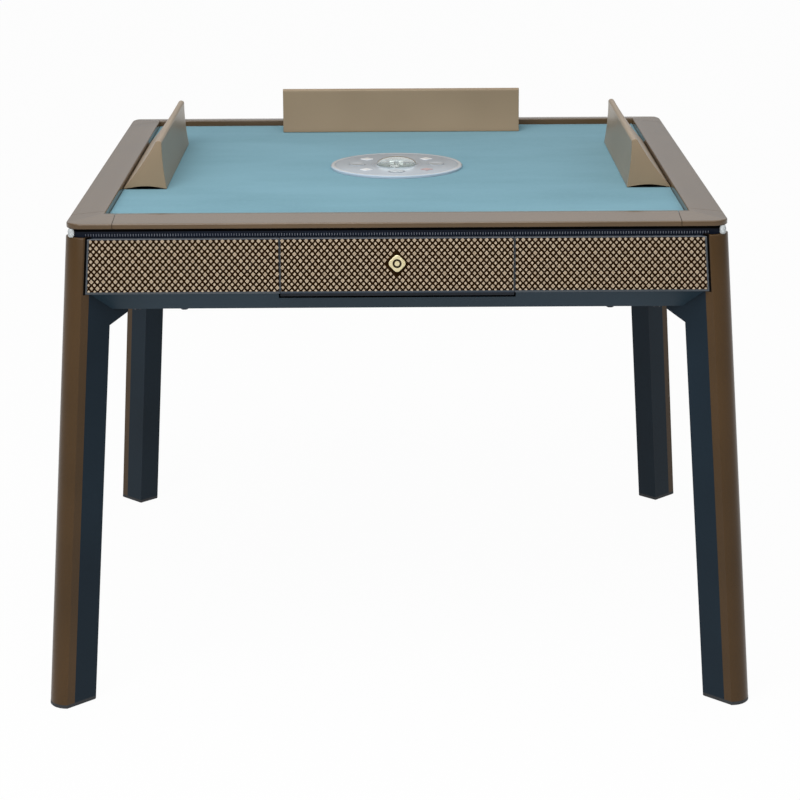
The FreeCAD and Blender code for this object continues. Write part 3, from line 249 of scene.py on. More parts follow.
def drawn_in(outline, distance):
    """A closed outline moved inwards by distance, along the mean of its neighbours' normals."""
    points = np.asarray(outline, float)
    along = np.roll(points, -1, 0) - np.roll(points, 1, 0)
    normal = np.stack((-along[:, 1], along[:, 0]), -1)
    normal /= np.linalg.norm(normal, axis=1)[:, None]
    x, y = points.T
    area = (x * np.roll(y, -1) - np.roll(x, -1) * y).sum()
    return points + normal * distance * np.sign(area)


# Finishes -------------------------------------------------------------------------------

class Finish:
    """A node material with one shader. Its nodes read the object's own coordinates."""

    def __init__(self, name, **shader):
        self.material = bpy.data.materials.new(name)
        self.material.use_nodes = True
        self.tree = self.material.node_tree
        self.shader = self.tree.nodes["Principled BSDF"]
        for socket, value in shader.items():
            self.shader.inputs[socket.replace("_", " ")].default_value = value
        self.place = self.tree.nodes.new("ShaderNodeTexCoord").outputs["Object"]
        self.height = None

    def add(self, kind, links=(), **values):
        made = self.tree.nodes.new("ShaderNode" + kind)
        for socket, value in values.items():
            made.inputs[socket.replace("_", " ")].default_value = value
        for socket, source in dict(links).items():
            self.tree.links.new(source, made.inputs[socket])
        return made

    def stretched(self, x, y, z):
        """The object's coordinates, stretched."""
        return self.add("Mapping", {"Vector": self.place}, Scale=(x, y, z)).outputs["Vector"]

    def noise(self, scale, detail=3.0, roughness=0.55, place=None):
        made = self.add("TexNoise", {"Vector": place or self.place}, Scale=scale, Detail=detail,
                        Roughness=roughness)
        return made.outputs["Fac"]

    def spread(self, source, low_end, high_end, steps=(0.3, 0.7)):
        """The source's range between the two steps, mapped onto low_end to high_end."""
        made = self.add("MapRange", {"Value": source}, From_Min=steps[0], From_Max=steps[1],
                        To_Min=low_end, To_Max=high_end)
        return made.outputs["Result"]

    def blend(self, share, first, second):
        """Mixes two colours by a share. Each is an output, or a colour of 0 to 255."""
        made = self.tree.nodes.new("ShaderNodeMix")
        made.data_type = "RGBA"
        sockets = [s for s in made.inputs if s.name in ("Factor", "A", "B") and s.enabled]
        self.tree.links.new(share, sockets[0])
        for socket, value in zip(sockets[-2:], (first, second)):
            if isinstance(value, bpy.types.NodeSocket):
                self.tree.links.new(value, socket)
            else:
                socket.default_value = srgb(*value)
        return next(s for s in made.outputs if s.enabled)

    def colour(self, source):
        self.tone = source
        self.tree.links.new(source, self.shader.inputs["Base Color"])

    def gloss(self, source):
        self.tree.links.new(source, self.shader.inputs["Roughness"])

    def relief(self, source, depth, strength=1.0):
        """Raises the surface by the source, up to depth metres, on top of any relief so far."""
        links = {"Height": source}
        if self.height is not None:
            links["Normal"] = self.height
        made = self.add("Bump", links, Strength=strength, Distance=depth)
        self.height = made.outputs["Normal"]
        self.tree.links.new(self.height, self.shader.inputs["Normal"])


def coated(name, dark, light, grain, wander, roughness, depth, **shader):
    """A painted or moulded finish: slow noise wanders between two tones, fine noise gives the
    coat its grain, in its sheen as in its relief."""
    finish = Finish(name, **shader)
    slow = finish.noise(wander, 2.0)
    fine = finish.noise(grain, 4.0, 0.6)
    tone = finish.blend(finish.spread(slow, 0.0, 1.0), dark, light)
    flecks = finish.spread(fine, 0.0, 0.22, (0.55, 0.8))
    finish.colour(finish.blend(flecks, tone, light))
    finish.gloss(finish.spread(fine, roughness - 0.05, roughness + 0.05))
    finish.relief(fine, depth)
    return finish


def coat(*look, **more):
    """A coated finish with nothing added."""
    return coated(*look, **more).material


def lacquer(name, dark, light, roughness, ior):
    """Satin lacquer over bronze paint: a soft mottle, fine flakes and an even sheen."""
    return coat(name, dark, light, 1400.0, 5.0, roughness, 0.00001, IOR=ior)


def powder_coat(name, dark, light):
    """Powder coat on folded steel: a fine even orange peel."""
    return coat(name, dark, light, 900.0, 4.0, 0.5, 0.00003, IOR=1.24)


def grey_trim_painted_highlight(name, lip=0.0):
    """Grey enamel on the panels' rims, lighter along their upper edge as a painted highlight, and
    dark on a lip of the given height along their foot."""
    finish = coated(name, (56, 62, 68), (66, 72, 78), 900.0, 8.0, 0.36, 0.00002, IOR=1.4)
    height = finish.add("SeparateXYZ", {"Vector": finish.place}).outputs["Z"]
    # painted highlight: the rims turn lighter over the top millimetre or so of the panels
    edge = finish.spread(height, 0.0, 1.0, (PANEL_TOP - 1.6 * MM, PANEL_TOP - 0.6 * MM))
    tone = finish.tone
    if lip:
        foot = finish.spread(height, 1.0, 0.0, (PANEL_FOOT + lip - 0.3 * MM, PANEL_FOOT + lip))
        tone = finish.blend(foot, tone, (30, 42, 55))
    finish.colour(finish.blend(edge, tone, (96, 101, 108)))
    return finish.material


def felt_pile():
    """Short brushed pile: long soft streaks of nap, clumps of fibre and single fibres, with a
    cloth's sheen at low angles."""
    finish = Finish("felt_pile", Roughness=0.95, Sheen_Weight=0.12, Sheen_Roughness=0.5, IOR=1.2)
    nap = finish.noise(2.6, 3.0, 0.6, finish.stretched(1.0, 2.4, 1.0))
    clump = finish.noise(160.0, 4.0, 0.7)
    fibre = finish.noise(1500.0, 3.0, 0.7, finish.stretched(1.0, 3.0, 1.0))
    tone = finish.blend(finish.spread(nap, 0.0, 1.0), (108, 152, 166), (126, 172, 187))
    tone = finish.blend(finish.spread(clump, 0.0, 0.35), tone, (132, 177, 191))
    tone = finish.blend(finish.spread(fibre, 0.0, 0.35, (0.25, 0.6)), tone, (98, 142, 158))
    finish.colour(tone)
    finish.relief(clump, 0.00025, 0.5)
    finish.relief(fibre, 0.00012, 0.6)
    return finish.material


def facing_bed():
    """The dark ground of the patterned facing, with the faint ribs of its weave."""
    finish = Finish("facing_bed", Roughness=0.8, IOR=1.08)
    threads = finish.add("TexWave", {"Vector": finish.place}, Scale=700.0, Distortion=1.5, Detail=2.0)
    wander = finish.noise(120.0, 3.0)
    tone = finish.blend(finish.spread(wander, 0.0, 1.0), (24, 12, 2), (38, 22, 6))
    finish.colour(finish.blend(finish.spread(threads.outputs["Fac"], 0.0, 0.3), tone, (44, 28, 12)))
    finish.relief(threads.outputs["Fac"], 0.00006)
    return finish.material


def facing_lozenge():
    """The pale lozenges of the facing: each has a tone of its own, a darker dimple in the middle of
    the large ones and a fine linen grain."""
    finish = Finish("facing_lozenge", Roughness=0.5, IOR=1.35)
    tone = finish.add("Attribute")
    tone.attribute_name = "tone"
    dimple = finish.add("Attribute")
    dimple.attribute_name = "dimple"
    grain = finish.noise(1800.0, 3.0, 0.6)
    base = finish.blend(tone.outputs["Fac"], (156, 139, 118), (194, 177, 154))
    base = finish.blend(finish.spread(grain, 0.0, 0.3), base, (146, 129, 106))
    finish.colour(finish.blend(dimple.outputs["Fac"], base, (146, 127, 102)))
    finish.relief(grain, 0.00005)
    return finish.material


def pale_gold():
    """Brushed pale gold: long scratches along one way, in its sheen and its relief."""
    finish = Finish("pale_gold", Metallic=0.6, Roughness=0.36)
    scratch = finish.noise(900.0, 2.0, 0.5, finish.stretched(0.08, 1.0, 1.0))
    cloud = finish.noise(90.0, 2.0)
    tone = finish.blend(finish.spread(cloud, 0.0, 1.0), (214, 201, 158), (230, 220, 182))
    finish.colour(finish.blend(finish.spread(scratch, 0.0, 0.3), tone, (196, 182, 138)))
    finish.gloss(finish.spread(scratch, 0.24, 0.4))
    finish.relief(scratch, 0.00001)
    return finish.material


def steel(name, dark, light, roughness):
    """Plated steel: clouds of zinc and fine rolling marks."""
    finish = Finish(name, Metallic=0.9, Roughness=roughness)
    cloud = finish.noise(45.0, 3.0)
    marks = finish.noise(600.0, 2.0, 0.5, finish.stretched(0.1, 1.0, 1.0))
    finish.colour(finish.blend(finish.spread(cloud, 0.0, 1.0), dark, light))
    finish.gloss(finish.spread(marks, roughness - 0.08, roughness + 0.1))
    finish.relief(marks, 0.00001)
    return finish.material


def moulded(name, dark, light, roughness, grain=500.0, **shader):
    """Moulded plastic: a fine spark-eroded grain and a faint flow mottle."""
    return coat(name, dark, light, grain, 12.0, roughness, 0.00003, **shader)


def clear_acrylic(name, tint, roughness, weight):
    """Clear acrylic: faint flow lines in its gloss."""
    finish = Finish(name, Base_Color=srgb(*tint), Roughness=roughness, Transmission_Weight=weight,
                    IOR=1.49)
    flow = finish.noise(40.0, 2.0)
    finish.colour(finish.blend(finish.spread(flow, 0.0, 0.4), tint, (236, 240, 240)))
    finish.gloss(finish.spread(flow, roughness * 0.7, roughness * 1.4))
    return finish.material


def gloss_coat(name, dark, light):
    """Moulded plastic under a clear glossy coat."""
    return coat(name, dark, light, 500.0, 8.0, 0.16, 0.00001, Coat_Weight=0.5, Coat_Roughness=0.05)


def seat_lenses():
    """Clear-coated lenses: white, but for the lit one at the front right, which is a dull red."""
    finish = coated("seat_lenses", (236, 238, 240), (246, 248, 249), 700.0, 12.0, 0.2, 0.00003,
                    Coat_Weight=0.5)
    way = finish.add("VectorMath", {"Vector": finish.place})
    way.operation = "DOT_PRODUCT"
    way.inputs[1].default_value = (1, -1, 0)
    lit = finish.spread(way.outputs["Value"], 0.0, 1.0, (50 * MM, 52 * MM))
    finish.colour(finish.blend(lit, finish.tone, (182, 148, 148)))
    return finish.material


BRONZE = lacquer("bronze_lacquer", (78, 60, 38), (89, 69, 45), 0.22, 1.45)
LEG_BRONZE = lacquer("leg_bronze", (63, 45, 22), (75, 54, 29), 0.3, 1.3)
# near-black finish standing for deep shade: painted shadow under the rails and beside the panels
SHADOW_BLACK = coat("painted_shadow_black", (6, 6, 6), (13, 12, 11), 800.0, 20.0, 0.8, 0.00003, IOR=1.06)
RACK_BRONZE = lacquer("rack_bronze", (139, 121, 98), (151, 132, 108), 0.32, 1.3)
SLATE = powder_coat("slate_coat", (15, 29, 39), (21, 36, 47))
PAN_SLATE = powder_coat("pan_slate", (27, 45, 56), (34, 52, 64))
NAVY = coat("navy_anodised", (15, 23, 37), (21, 30, 47), 700.0, 9.0, 0.42, 0.00002, IOR=1.22)
# both rim finishes carry a painted highlight along the panels' upper edge
TRIM = grey_trim_painted_highlight("grey_trim_painted_highlight")
DRAWER_TRIM = grey_trim_painted_highlight("drawer_trim", 1.8 * MM)
FELT = felt_pile()
BED = facing_bed()
LOZENGE = facing_lozenge()
# lighter finish for the rib crests: a painted glint standing for the ribs' reflections
RIB_GLINT = coat("rib_painted_glint", (96, 101, 112), (128, 133, 142), 900.0, 14.0, 0.3, 0.00001, Metallic=0.4)
GOLD = pale_gold()
ENAMEL = coat("dark_enamel", (28, 21, 10), (42, 32, 17), 600.0, 60.0, 0.45, 0.00001, IOR=1.2)
ZINC = steel("zinc_steel", (120, 124, 130), (158, 162, 168), 0.35)
DARK_STEEL = steel("dark_steel", (38, 42, 48), (58, 62, 68), 0.4)
RUBBER = moulded("foot_rubber", (22, 24, 27), (34, 37, 40), 0.7)
DRAWER_PLASTIC = moulded("drawer_plastic", (20, 24, 29), (28, 32, 38), 0.6, IOR=1.25)
BOARD = moulded("board_fibre", (70, 58, 42), (96, 82, 62), 0.7, 220.0)
SPACER = clear_acrylic("frosted_spacer", (214, 220, 222), 0.35, 0.45)
GLASS = clear_acrylic("clear_cover", (232, 240, 240), 0.03, 1.0)
DISC = gloss_coat("disc_gloss", (160, 175, 190), (174, 189, 203))
DISC_RIM = gloss_coat("disc_rim", (190, 197, 203), (206, 212, 217))
BUTTON = gloss_coat("button_cap", (150, 160, 168), (165, 175, 183))
WINDOW = moulded("tray_floor", (86, 98, 97), (104, 116, 114), 0.3, 700.0, Coat_Weight=0.4)
PRINT = moulded("grey_print", (86, 93, 101), (102, 109, 117), 0.3, 700.0)
LENS = seat_lenses()
DICE = moulded("dice_white", (226, 226, 220), (240, 240, 236), 0.25, 900.0, Coat_Weight=0.3)
PIP = moulded("dice_pip", (28, 34, 60), (40, 46, 76), 0.35, 900.0)
DRUM = moulded("drum_plastic", (44, 47, 50), (60, 63, 66), 0.55, 300.0)
WHEEL = moulded("wheel_rubber", (26, 26, 28), (40, 40, 42), 0.8, 900.0)
MOTOR = steel("motor_can", (96, 100, 106), (132, 136, 142), 0.45)
INLET = moulded("inlet_plastic", (20, 21, 23), (30, 31, 34), 0.5)

NODE_FINISHES = {
    "playing_board": BOARD, "upper_frame": NAVY, "leg_post": SLATE, "leg_feet": RUBBER,
    "leg_brackets": SLATE, "base_pan": PAN_SLATE, "chassis_corners": SLATE, "frame_screws": DARK_STEEL,
    "drawer_channels": ZINC, "side_panels": TRIM, "drawer_face": DRAWER_TRIM, "drawer_box": DRAWER_PLASTIC,
    "control_disc": DISC, "direction_lenses": LENS, "lift_rod": ZINC, "lift_column": DARK_STEEL,
    "tile_drum": DRUM, "drive_wheel": WHEEL, "drum_motor": MOTOR, "power_inlet": INLET,
    "rail": BRONZE, "felt_mat": FELT, "ribbed_strips": NAVY, "corner_spacers": SPACER,
    "leg_cover": LEG_BRONZE, "drawer_badge": GOLD, "tile_rack": RACK_BRONZE, "dice_cover": GLASS,
    "dice": DICE, "disc_button": BUTTON,
}


def finish_nodes():
    """Gives each node of the frame the finish whose name is the longest start of its own."""
    for name, node in frame["nodes"].items():
        start = max((s for s in NODE_FINISHES if name.startswith(s)), key=len)
        for slot in node.material_slots:
            slot.material = NODE_FINISHES[start]


# Rails ----------------------------------------------------------------------------------

def rail_height(points, drop=0.0):
    """Height of the rails' top at each plan point: it falls in a straight line from the inner
    edge to the outer one, by whichever of X and Y is further out."""
    reach = np.maximum(np.abs(points[..., 0]), np.abs(points[..., 1]))
    return RAIL_TOP - RAIL_FALL * (reach - RAIL_INNER) / (HALF - RAIL_INNER) - drop


def rail_rows(inner, outer):
    """Sections of a rail. inner and outer give the plan line at a distance in from the felt's
    edge or the table's edge. The section goes out along the seat, round the outer face and back
    along the top, its edges rounded by quarter circles."""
    lines = [(inner(0.0), SEAT)]
    lines += [(outer(into), SEAT + sunk) for into, sunk in rounding(FOOT_ROUND, 5)[::-1]]
    edge = rail_height(outer(EDGE_ROUND))
    soft = rounding(EDGE_ROUND, 5)
    lines += [(outer(into), edge - sunk) for into, sunk in soft]
    for share in (0.25, 0.5, 0.75):
        middle = outer(EDGE_ROUND) * (1 - share) + inner(EDGE_ROUND) * share
        lines.append((middle, rail_height(middle)))
    edge = rail_height(inner(EDGE_ROUND))
    lines += [(inner(into), edge - sunk) for into, sunk in soft[::-1]]
    return np.stack([at_height(plan, z) for plan, z in lines], 1)


def straight_rail(side):
    """A rail between two corner blocks. Its ends are square cuts, with a fine open joint."""
    reach = RAIL_END - JOINT_LINE
    along = np.linspace(-reach, reach, 9)

    def line(y):
        return np.stack((along, np.full(along.shape, y)), -1)

    rows = rail_rows(lambda d: line(-(RAIL_INNER + d)), lambda d: line(-(HALF - d)))
    name = f"rail_{SIDES[side]}"
    capped_bar(name + "_shaped", turned(rows, side), "table", "rail", [BRONZE], replaces=[name])


def corner_block(corner):
    """A corner block. Its outer line is straight, a quarter circle, and straight again. Its inner
    line turns square on the mitre, so the stations of the arc share one inner point."""
    straight = np.array((BLOCK_START, RAIL_INNER, (RAIL_INNER + HALF - BLOCK_ROUND) / 2))
    bend = np.linspace(0, math.pi / 2, 17)
    count = len(straight) + len(bend) + len(straight)

    def outer(d):
        radius = BLOCK_ROUND - d
        centre = HALF - BLOCK_ROUND
        first = np.stack((np.full(len(straight), HALF - d), straight), -1)
        arc_part = np.stack((centre + radius * np.cos(bend), centre + radius * np.sin(bend)), -1)
        return np.concatenate((first, arc_part, first[::-1, ::-1]))

    def inner(d):
        place = RAIL_INNER + d
        plan = np.full((count, 2), place)
        plan[0, 1] = plan[-1, 0] = BLOCK_START
        plan[1, 1] = plan[-2, 0] = RAIL_INNER
        return plan

    name = f"rail_corner_{CORNERS[corner]}"
    capped_bar(name + "_shaped", turned(rail_rows(inner, outer), corner), "table", "rail", [BRONZE],
               replaces=[name])


# Playing surface ------------------------------------------------------------------------

def felt_top():
    """The felt mat, one closed skin between the square edge and the round well. Each point of
    the top lies part way from the well's circle to the square; both edges are rolled down, and
    the nap lowers the surface in long waves, products and sums of sines, by up to 0.16 mm."""
    each = np.linspace(-1, 1, 48, endpoint=False)
    ones = np.ones(each.shape)
    square = np.concatenate([np.stack(pair, -1) for pair in
                             ((ones, each), (-each, ones), (-ones, -each), (each, -ones))])
    ring = square / np.linalg.norm(square, axis=1)[:, None]
    soft = rounding(1.1 * MM, 4)
    quarter_sink = 0.04 * MM

    def row(share, z, shift=0.0):
        plan = ring * WELL * (1 - share) + square * FELT_HALF * share + ring * shift
        return at_height(plan, z)

    rows = [row(0, SEAT)]
    rows += [row(0, FELT_TOP - sunk, into) for into, sunk in soft]
    for share in np.linspace(0, 1, 26)[1:-1]:
        level = row(share, FELT_TOP)
        x, y = level[:, 0], level[:, 1]
        wave = np.sin(x * 31) * np.cos(y * 23) + np.sin(x * 13 + y * 17)     # radians per metre
        level[:, 2] -= (2 - wave) * quarter_sink
        rows.append(level)
    rows += [row(1, FELT_TOP - sunk, -into) for into, sunk in soft[::-1]]
    rows.append(row(1, SEAT))
    points = np.stack(rows)
    faces = grid_faces(*points.shape[:2], wrap_rows=True, wrap_columns=True)
    mat = build("felt_surface", points, faces, "table", "felt", [FELT], replaces=["felt_mat"])


# Facings --------------------------------------------------------------------------------

COLUMN = 9.07 * MM       # from one column of lozenges to the next
ROW = 10.2 * MM          # from one row to the next
FIRST_ROW = 3.45 * MM    # first row below the panel's top edge
DRAWER_SHIFT = -0.8 * MM # how far the drawers' lozenges sit out of step with the panels'
LARGE, MIDDLE, SMALL = 3.5 * MM, 2.85 * MM, 2.55 * MM     # middle to tip, before the tips are cut
TIP_CUT = 0.15           # share of a lozenge's reach that is cut from each tip
LOZENGE_RISE = 0.75 * MM
DEEP, SHALLOW = 0.22 * MM, 0.08 * MM     # dimples of the large lozenges and of the others
BADGE_ROOM = 17.2 * MM   # no lozenge closer than this to the badge's middle, along and down added


def on_panel(side, x, down, out):
    """Points on the leaning face of the panels of one side: x along it, down from the panel's
    top edge and out from its face."""
    tilt = math.atan(LEAN)
    y = -(PANEL_FACE + down * math.sin(tilt) + out * math.cos(tilt))
    z = PANEL_TOP - down * math.cos(tilt) + out * math.sin(tilt)
    return turned(np.stack((np.broadcast_to(x, y.shape), y, z), -1), side)


def lozenge_places(left, right, badge):
    """Centres and reaches of the lozenges over a stretch of the side. Large and middling ones
    alternate like a chessboard; small ones sit between every four of them. Round a badge the
    bed is left bare."""
    reach = int(math.ceil(HALF / COLUMN))
    i, j = np.meshgrid(np.arange(-reach, reach + 1), np.arange(9), indexing="ij")
    i, j = i.ravel(), j.ravel()
    main = np.stack((i * COLUMN, FIRST_ROW + j * ROW, np.where((i + j) % 2, LARGE, MIDDLE)), -1)
    between = np.stack(((i + 0.5) * COLUMN, FIRST_ROW + (j + 0.5) * ROW, np.full(i.shape, SMALL)), -1)
    places = np.concatenate((main, between))
    places[:, 0] += DRAWER_SHIFT if badge else 0.0
    near = (places[:, 0] > left - LARGE) & (places[:, 0] < right + LARGE)
    if badge:
        near &= np.abs(places[:, 0]) + np.abs(places[:, 1] - BADGE_MIDDLE) > BADGE_ROOM
    return places[near]


def lozenge_shape():
    """Eight corners of a lozenge of reach one, its four tips cut square."""
    tips = np.array(((1, 0), (0, 1), (-1, 0), (0, -1)))
    sides = np.array(((0, 1), (-1, 0), (0, -1), (1, 0)))
    cut = TIP_CUT * np.array((-1, 1))
    return (tips[:, None] * (1 - TIP_CUT) + sides[:, None] * cut[None, :, None]).reshape(8, 2)


def facing(name, side, body, slot, stretches, badge=False):
    """The facing in a panel's recess: a thin dark bed with raised lozenges. Each lozenge is a
    square on its corner, its tips cut, that narrows to a flat top with a shallow dimple.
    Those at the edges are cut off flush by the rims."""
    drop = (PANEL_TOP - PANEL_FOOT) / math.cos(math.atan(LEAN)) - RIM_FOOT
    rings = np.array(((1.0, 0.0), (0.95, 0.55), (0.84, 1.0)))    # shares of reach and of rise
    around = 8
    crown = around * len(rings)      # the number of the middle point of a lozenge's top
    each = crown + 1
    bed_thick, least = 0.12 * MM, 0.5 * MM
    flat_shape = lozenge_shape()[None] * rings[:, 0][:, None, None]
    wall = grid_faces(len(rings), around, wrap_columns=True)
    step = np.arange(around)
    edge = crown - around
    lid = np.stack((edge + step, edge + (step + 1) % around, np.full(around, crown)), -1)
    points, faces, picks, tones, dimples = [], [], [], [], []
    start = 0
    for left, right_top, right_foot in stretches:
        ends = (left, right_top, right_foot)
        places = lozenge_places(min(ends), max(ends), badge)
        flat = flat_shape[None] * places[:, 2][:, None, None, None]
        x = (places[:, 0][:, None, None] + flat[..., 0]).reshape(-1, crown)
        down = (places[:, 1][:, None, None] + flat[..., 1] * (ROW / COLUMN)).reshape(-1, crown)
        out = np.broadcast_to(np.repeat(rings[:, 1], around) * LOZENGE_RISE, x.shape)
        middle = LOZENGE_RISE - np.where(places[:, 2:] > MIDDLE, DEEP, SHALLOW)
        x = np.concatenate((x, places[:, :1]), 1)
        down = np.concatenate((down, places[:, 1:2]), 1)
        out = np.concatenate((out, middle), 1)
        end = right_top + (right_foot - right_top) * np.clip(down / drop, 0, 1)
        x = np.clip(x, np.minimum(left, end), np.maximum(left, end))
        down = np.clip(down, RIM_TOP, drop)
        seen = (np.ptp(x, axis=1) > least) & (np.ptp(down, axis=1) > least)
        x, down, out, places = x[seen], down[seen], out[seen], places[seen]
        points.append(on_panel(side, x, down, out - BED_DEPTH).reshape(-1, 3))
        count = len(places)
        first = start + each * np.arange(count)[:, None, None]
        faces += (wall + first).reshape(-1, 4).tolist() + (lid + first).reshape(-1, 3).tolist()
        faces += (step[::-1] + first[:, 0]).tolist()
        picks += [1] * (count * (len(wall) + len(lid) + 1))
        # fast waves over the panel, so that each lozenge's tone differs from its neighbours'
        wander = np.sin(places[:, 0] * 911.0 + places[:, 1] * 2833.0 + side) * 0.5 + 0.5
        tones.append(np.repeat(0.25 + 0.5 * wander + 0.2 * (places[:, 2] < MIDDLE), each))
        dimple = np.zeros((count, each))
        dimple[:, crown] = np.where(places[:, 2] > MIDDLE, 0.8, 0.25)
        dimples.append(dimple.ravel())
        start += count * each
        bed_x = np.array((left, left, right_foot, right_top))
        bed_down = np.array((RIM_TOP, drop, drop, RIM_TOP))
        for level in (0.0, bed_thick):
            points.append(on_panel(side, bed_x, bed_down, np.full(4, level - BED_DEPTH)))
        bed = capped_faces(2, 4, start)
        faces += bed
        picks += [0] * len(bed)
        tones.append(np.zeros(8))
        dimples.append(np.zeros(8))
        start += 8
    piece = build(name, np.concatenate(points), faces, body, slot, [BED, LOZENGE], picks, crease=30.0)
    for label, values in (("tone", tones), ("dimple", dimples)):
        layer = piece.data.attributes.new(label, "FLOAT", "POINT")
        layer.data.foreach_set("value", np.concatenate(values).astype(np.float32))


def dress_panels():
    """Facings for the two fixed panels and the drawer front of each side."""
    start = FRONT_HALF + SEAM + RIM_SIDE
    flank = NOSE + LEG_GAP * math.sqrt(2)
    end = PANEL_FACE - flank - RIM_END
    foot_end = end + LEAN * (PANEL_TOP - PANEL_FOOT)
    inner = FRONT_HALF - RIM_SIDE
    for side, word in enumerate(SIDES):
        facing(f"panel_facing_{word}", side, "table", "panel",
               ((start, end, foot_end), (-start, -end, -foot_end)))
        facing(f"drawer_facing_{word}", side, f"{word}_drawer", "panel", ((-inner, inner, inner),), True)


# Trim -----------------------------------------------------------------------------------

def ribbed_trim():
    """The ribbed strips under the rails. Along each strip the face stands out in half-sine
    ribs, four millimetres apart; the ribs fade out towards the strip's upper and lower edge."""
    face, foot, top = -low("ribbed_strips")[1], low("ribbed_strips")[2], high("ribbed_strips")[2]
    reach = HALF - 27 * MM
    back = face - 1.3 * MM
    pitch, fine = 4 * MM, 8
    ribs = int(2 * reach / pitch)
    x = np.linspace(-ribs * pitch / 2, ribs * pitch / 2, ribs * fine + 1)
    wave = np.abs(np.sin(x / pitch * math.pi)) ** 0.7
    rise = np.array((0.0, 0.0, 0.3, 0.9, 1.0, 0.9, 0.3, 0.0))
    level = np.array((foot, foot, foot + 0.3 * MM, foot + 0.7 * MM, (foot + top) / 2, top - 0.7 * MM,
                      top - 0.3 * MM, top))
    depth = 0.9 * MM
    y = (face - depth) + depth * wave[:, None] * rise[None, :]
    y[:, 0] = back
    rows = np.stack((np.broadcast_to(x[:, None], y.shape), -y, np.broadcast_to(level, y.shape)), -1)
    end_column = np.stack((x, np.full(x.shape, -back), np.full(x.shape, top)), -1)[:, None]
    rows = np.concatenate((rows, end_column), 1)
    count, section = rows.shape[:2]
    strip = grid_faces(count, section, wrap_columns=True)
    station, column = strip[:, 0] // section, strip[:, 0] % section
    # faces on the ribs' crests take the lighter finish: a painted glint in place of reflections
    crest = (wave[station] + wave[station + 1] > 1.8) & (column >= 3) & (column <= 4)
    points, faces, picks = [], [], []
    for side in range(4):
        points.append(turned(rows, side).reshape(-1, 3))
        faces += capped_faces(count, section, side * count * section)
        picks += crest.astype(int).tolist() + [0, 0]
    build("ribbed_trim", np.concatenate(points), faces, "table", "ribbed_trim", [NAVY, RIB_GLINT], picks,
          replaces=["ribbed_strips"])


def rail_shadow_band():
    """A black band between the rails' seat and the upper frame, a painted shadow under the rails'
    overhang: a thin upright band carried round the square of the frame."""
    face, top = high("upper_frame")[0], SEAT - 0.2 * MM
    inner, outer, foot = face + 0.1 * MM, face + 1.0 * MM, SEAT - 5.8 * MM
    corners = np.array(((1, 1), (-1, 1), (-1, -1), (1, -1)))
    section = ((outer, foot), (outer, top), (inner, top), (inner, foot))
    rows = np.stack([np.stack([(*corner * reach, z) for reach, z in section]) for corner in corners])
    build("rail_shadow_band", rows, grid_faces(4, 4, wrap_rows=True, wrap_columns=True), "table", "ribbed_trim",
          [SHADOW_BLACK])


def corner_spools():
    """Four barrel-shaped spacers of frosted acrylic: the radius swells by a sine from the ends
    to the middle, with small flats where they touch the leg and the rail."""
    foot, top = low("corner_spacers")[2], high("corner_spacers")[2]
    place = high("corner_spacers")[0] - 5 * MM
    share = np.linspace(0, 1, 15)
    radius = (3.4 + 1.6 * np.sin(share * math.pi) ** 0.8) * MM
    height = foot + (top - foot) * share
    points, faces = [], []
    segments = 40
    for x, y in ((1, 1), (-1, 1), (-1, -1), (1, -1)):
        faces += capped_faces(len(share), segments, len(points) * len(share) * segments)
        points.append(round_of(radius, height, segments, (x * place, y * place)).reshape(-1, 3))
    build("corner_spools", np.concatenate(points), faces, "table", "clear_spacer", [SPACER],
          replaces=["corner_spacers"])


# Legs -----------------------------------------------------------------------------------

def leg_covers():
    """Rounded shells on the legs' outer corners. The section is a quarter circle between two
    short flanks at 45 degrees, with an even wall; it slides along the leg's lean, and its upper
    edge is rounded over. Beside the panels the flanks are painted black: painted shade in the
    narrow gap between leg and panel."""
    run = COVER_WRAP
    start = 0.2 * run
    outside = [np.array(((NOSE - run, -run), (NOSE - start, -start), (NOSE, 0.0))),
               arc((NOSE, 0.0), (0.0, NOSE), NOSE, True, 24),
               np.array(((-start, NOSE - start), (-run, NOSE - run)))]
    outside = np.concatenate(outside)
    wall = COVER_WALL / math.sqrt(2)
    throat = NOSE - 2 * wall
    inside = [np.array(((-run + wall, NOSE - run - wall),)), np.array(((0.0, throat),)),
              arc((0.0, throat), (throat, 0.0), NOSE - COVER_WALL, False, 24),
              np.array(((NOSE - run - wall, -run + wall),))]
    inside = np.concatenate(inside)
    spokes = outside / np.linalg.norm(outside, axis=1)[:, None]
    shadow_foot = PANEL_FOOT - 1.0 * MM
    levels = [(z, 0.0) for z in np.linspace(LEG_FOOT, shadow_foot, 10)]
    levels += [(COVER_TOP - sunk, into) for into, sunk in rounding(2.0 * MM, 6)]
    rows = []
    for z, inwards in levels:
        place = NOSE_REACH - NOSE + LEAN * (POST_TOP - z)
        rows.append(at_height(np.concatenate((outside - spokes * inwards, inside)) + place, z))
    rows = np.stack(rows)
    strip = grid_faces(*rows.shape[:2], wrap_columns=True)
    level, column = strip[:, 0] // rows.shape[1], strip[:, 0] % rows.shape[1]
    # flank faces beside the panels take the black finish: painted shade in the narrow gap
    shaded_flank = (rows[level, 0, 2] >= shadow_foot - 0.01 * MM) & ((column == 0) | (column == len(outside) - 2))
    picks = shaded_flank.astype(int).tolist() + [0, 0]
    for corner, word in enumerate(CORNERS):
        name = f"leg_cover_{word}"
        capped_bar(name + "_shaped", turned(rows, corner), "table", "leg_cover", [LEG_BRONZE, SHADOW_BLACK],
                   picks=picks, replaces=[name])


# Badges ---------------------------------------------------------------------------------

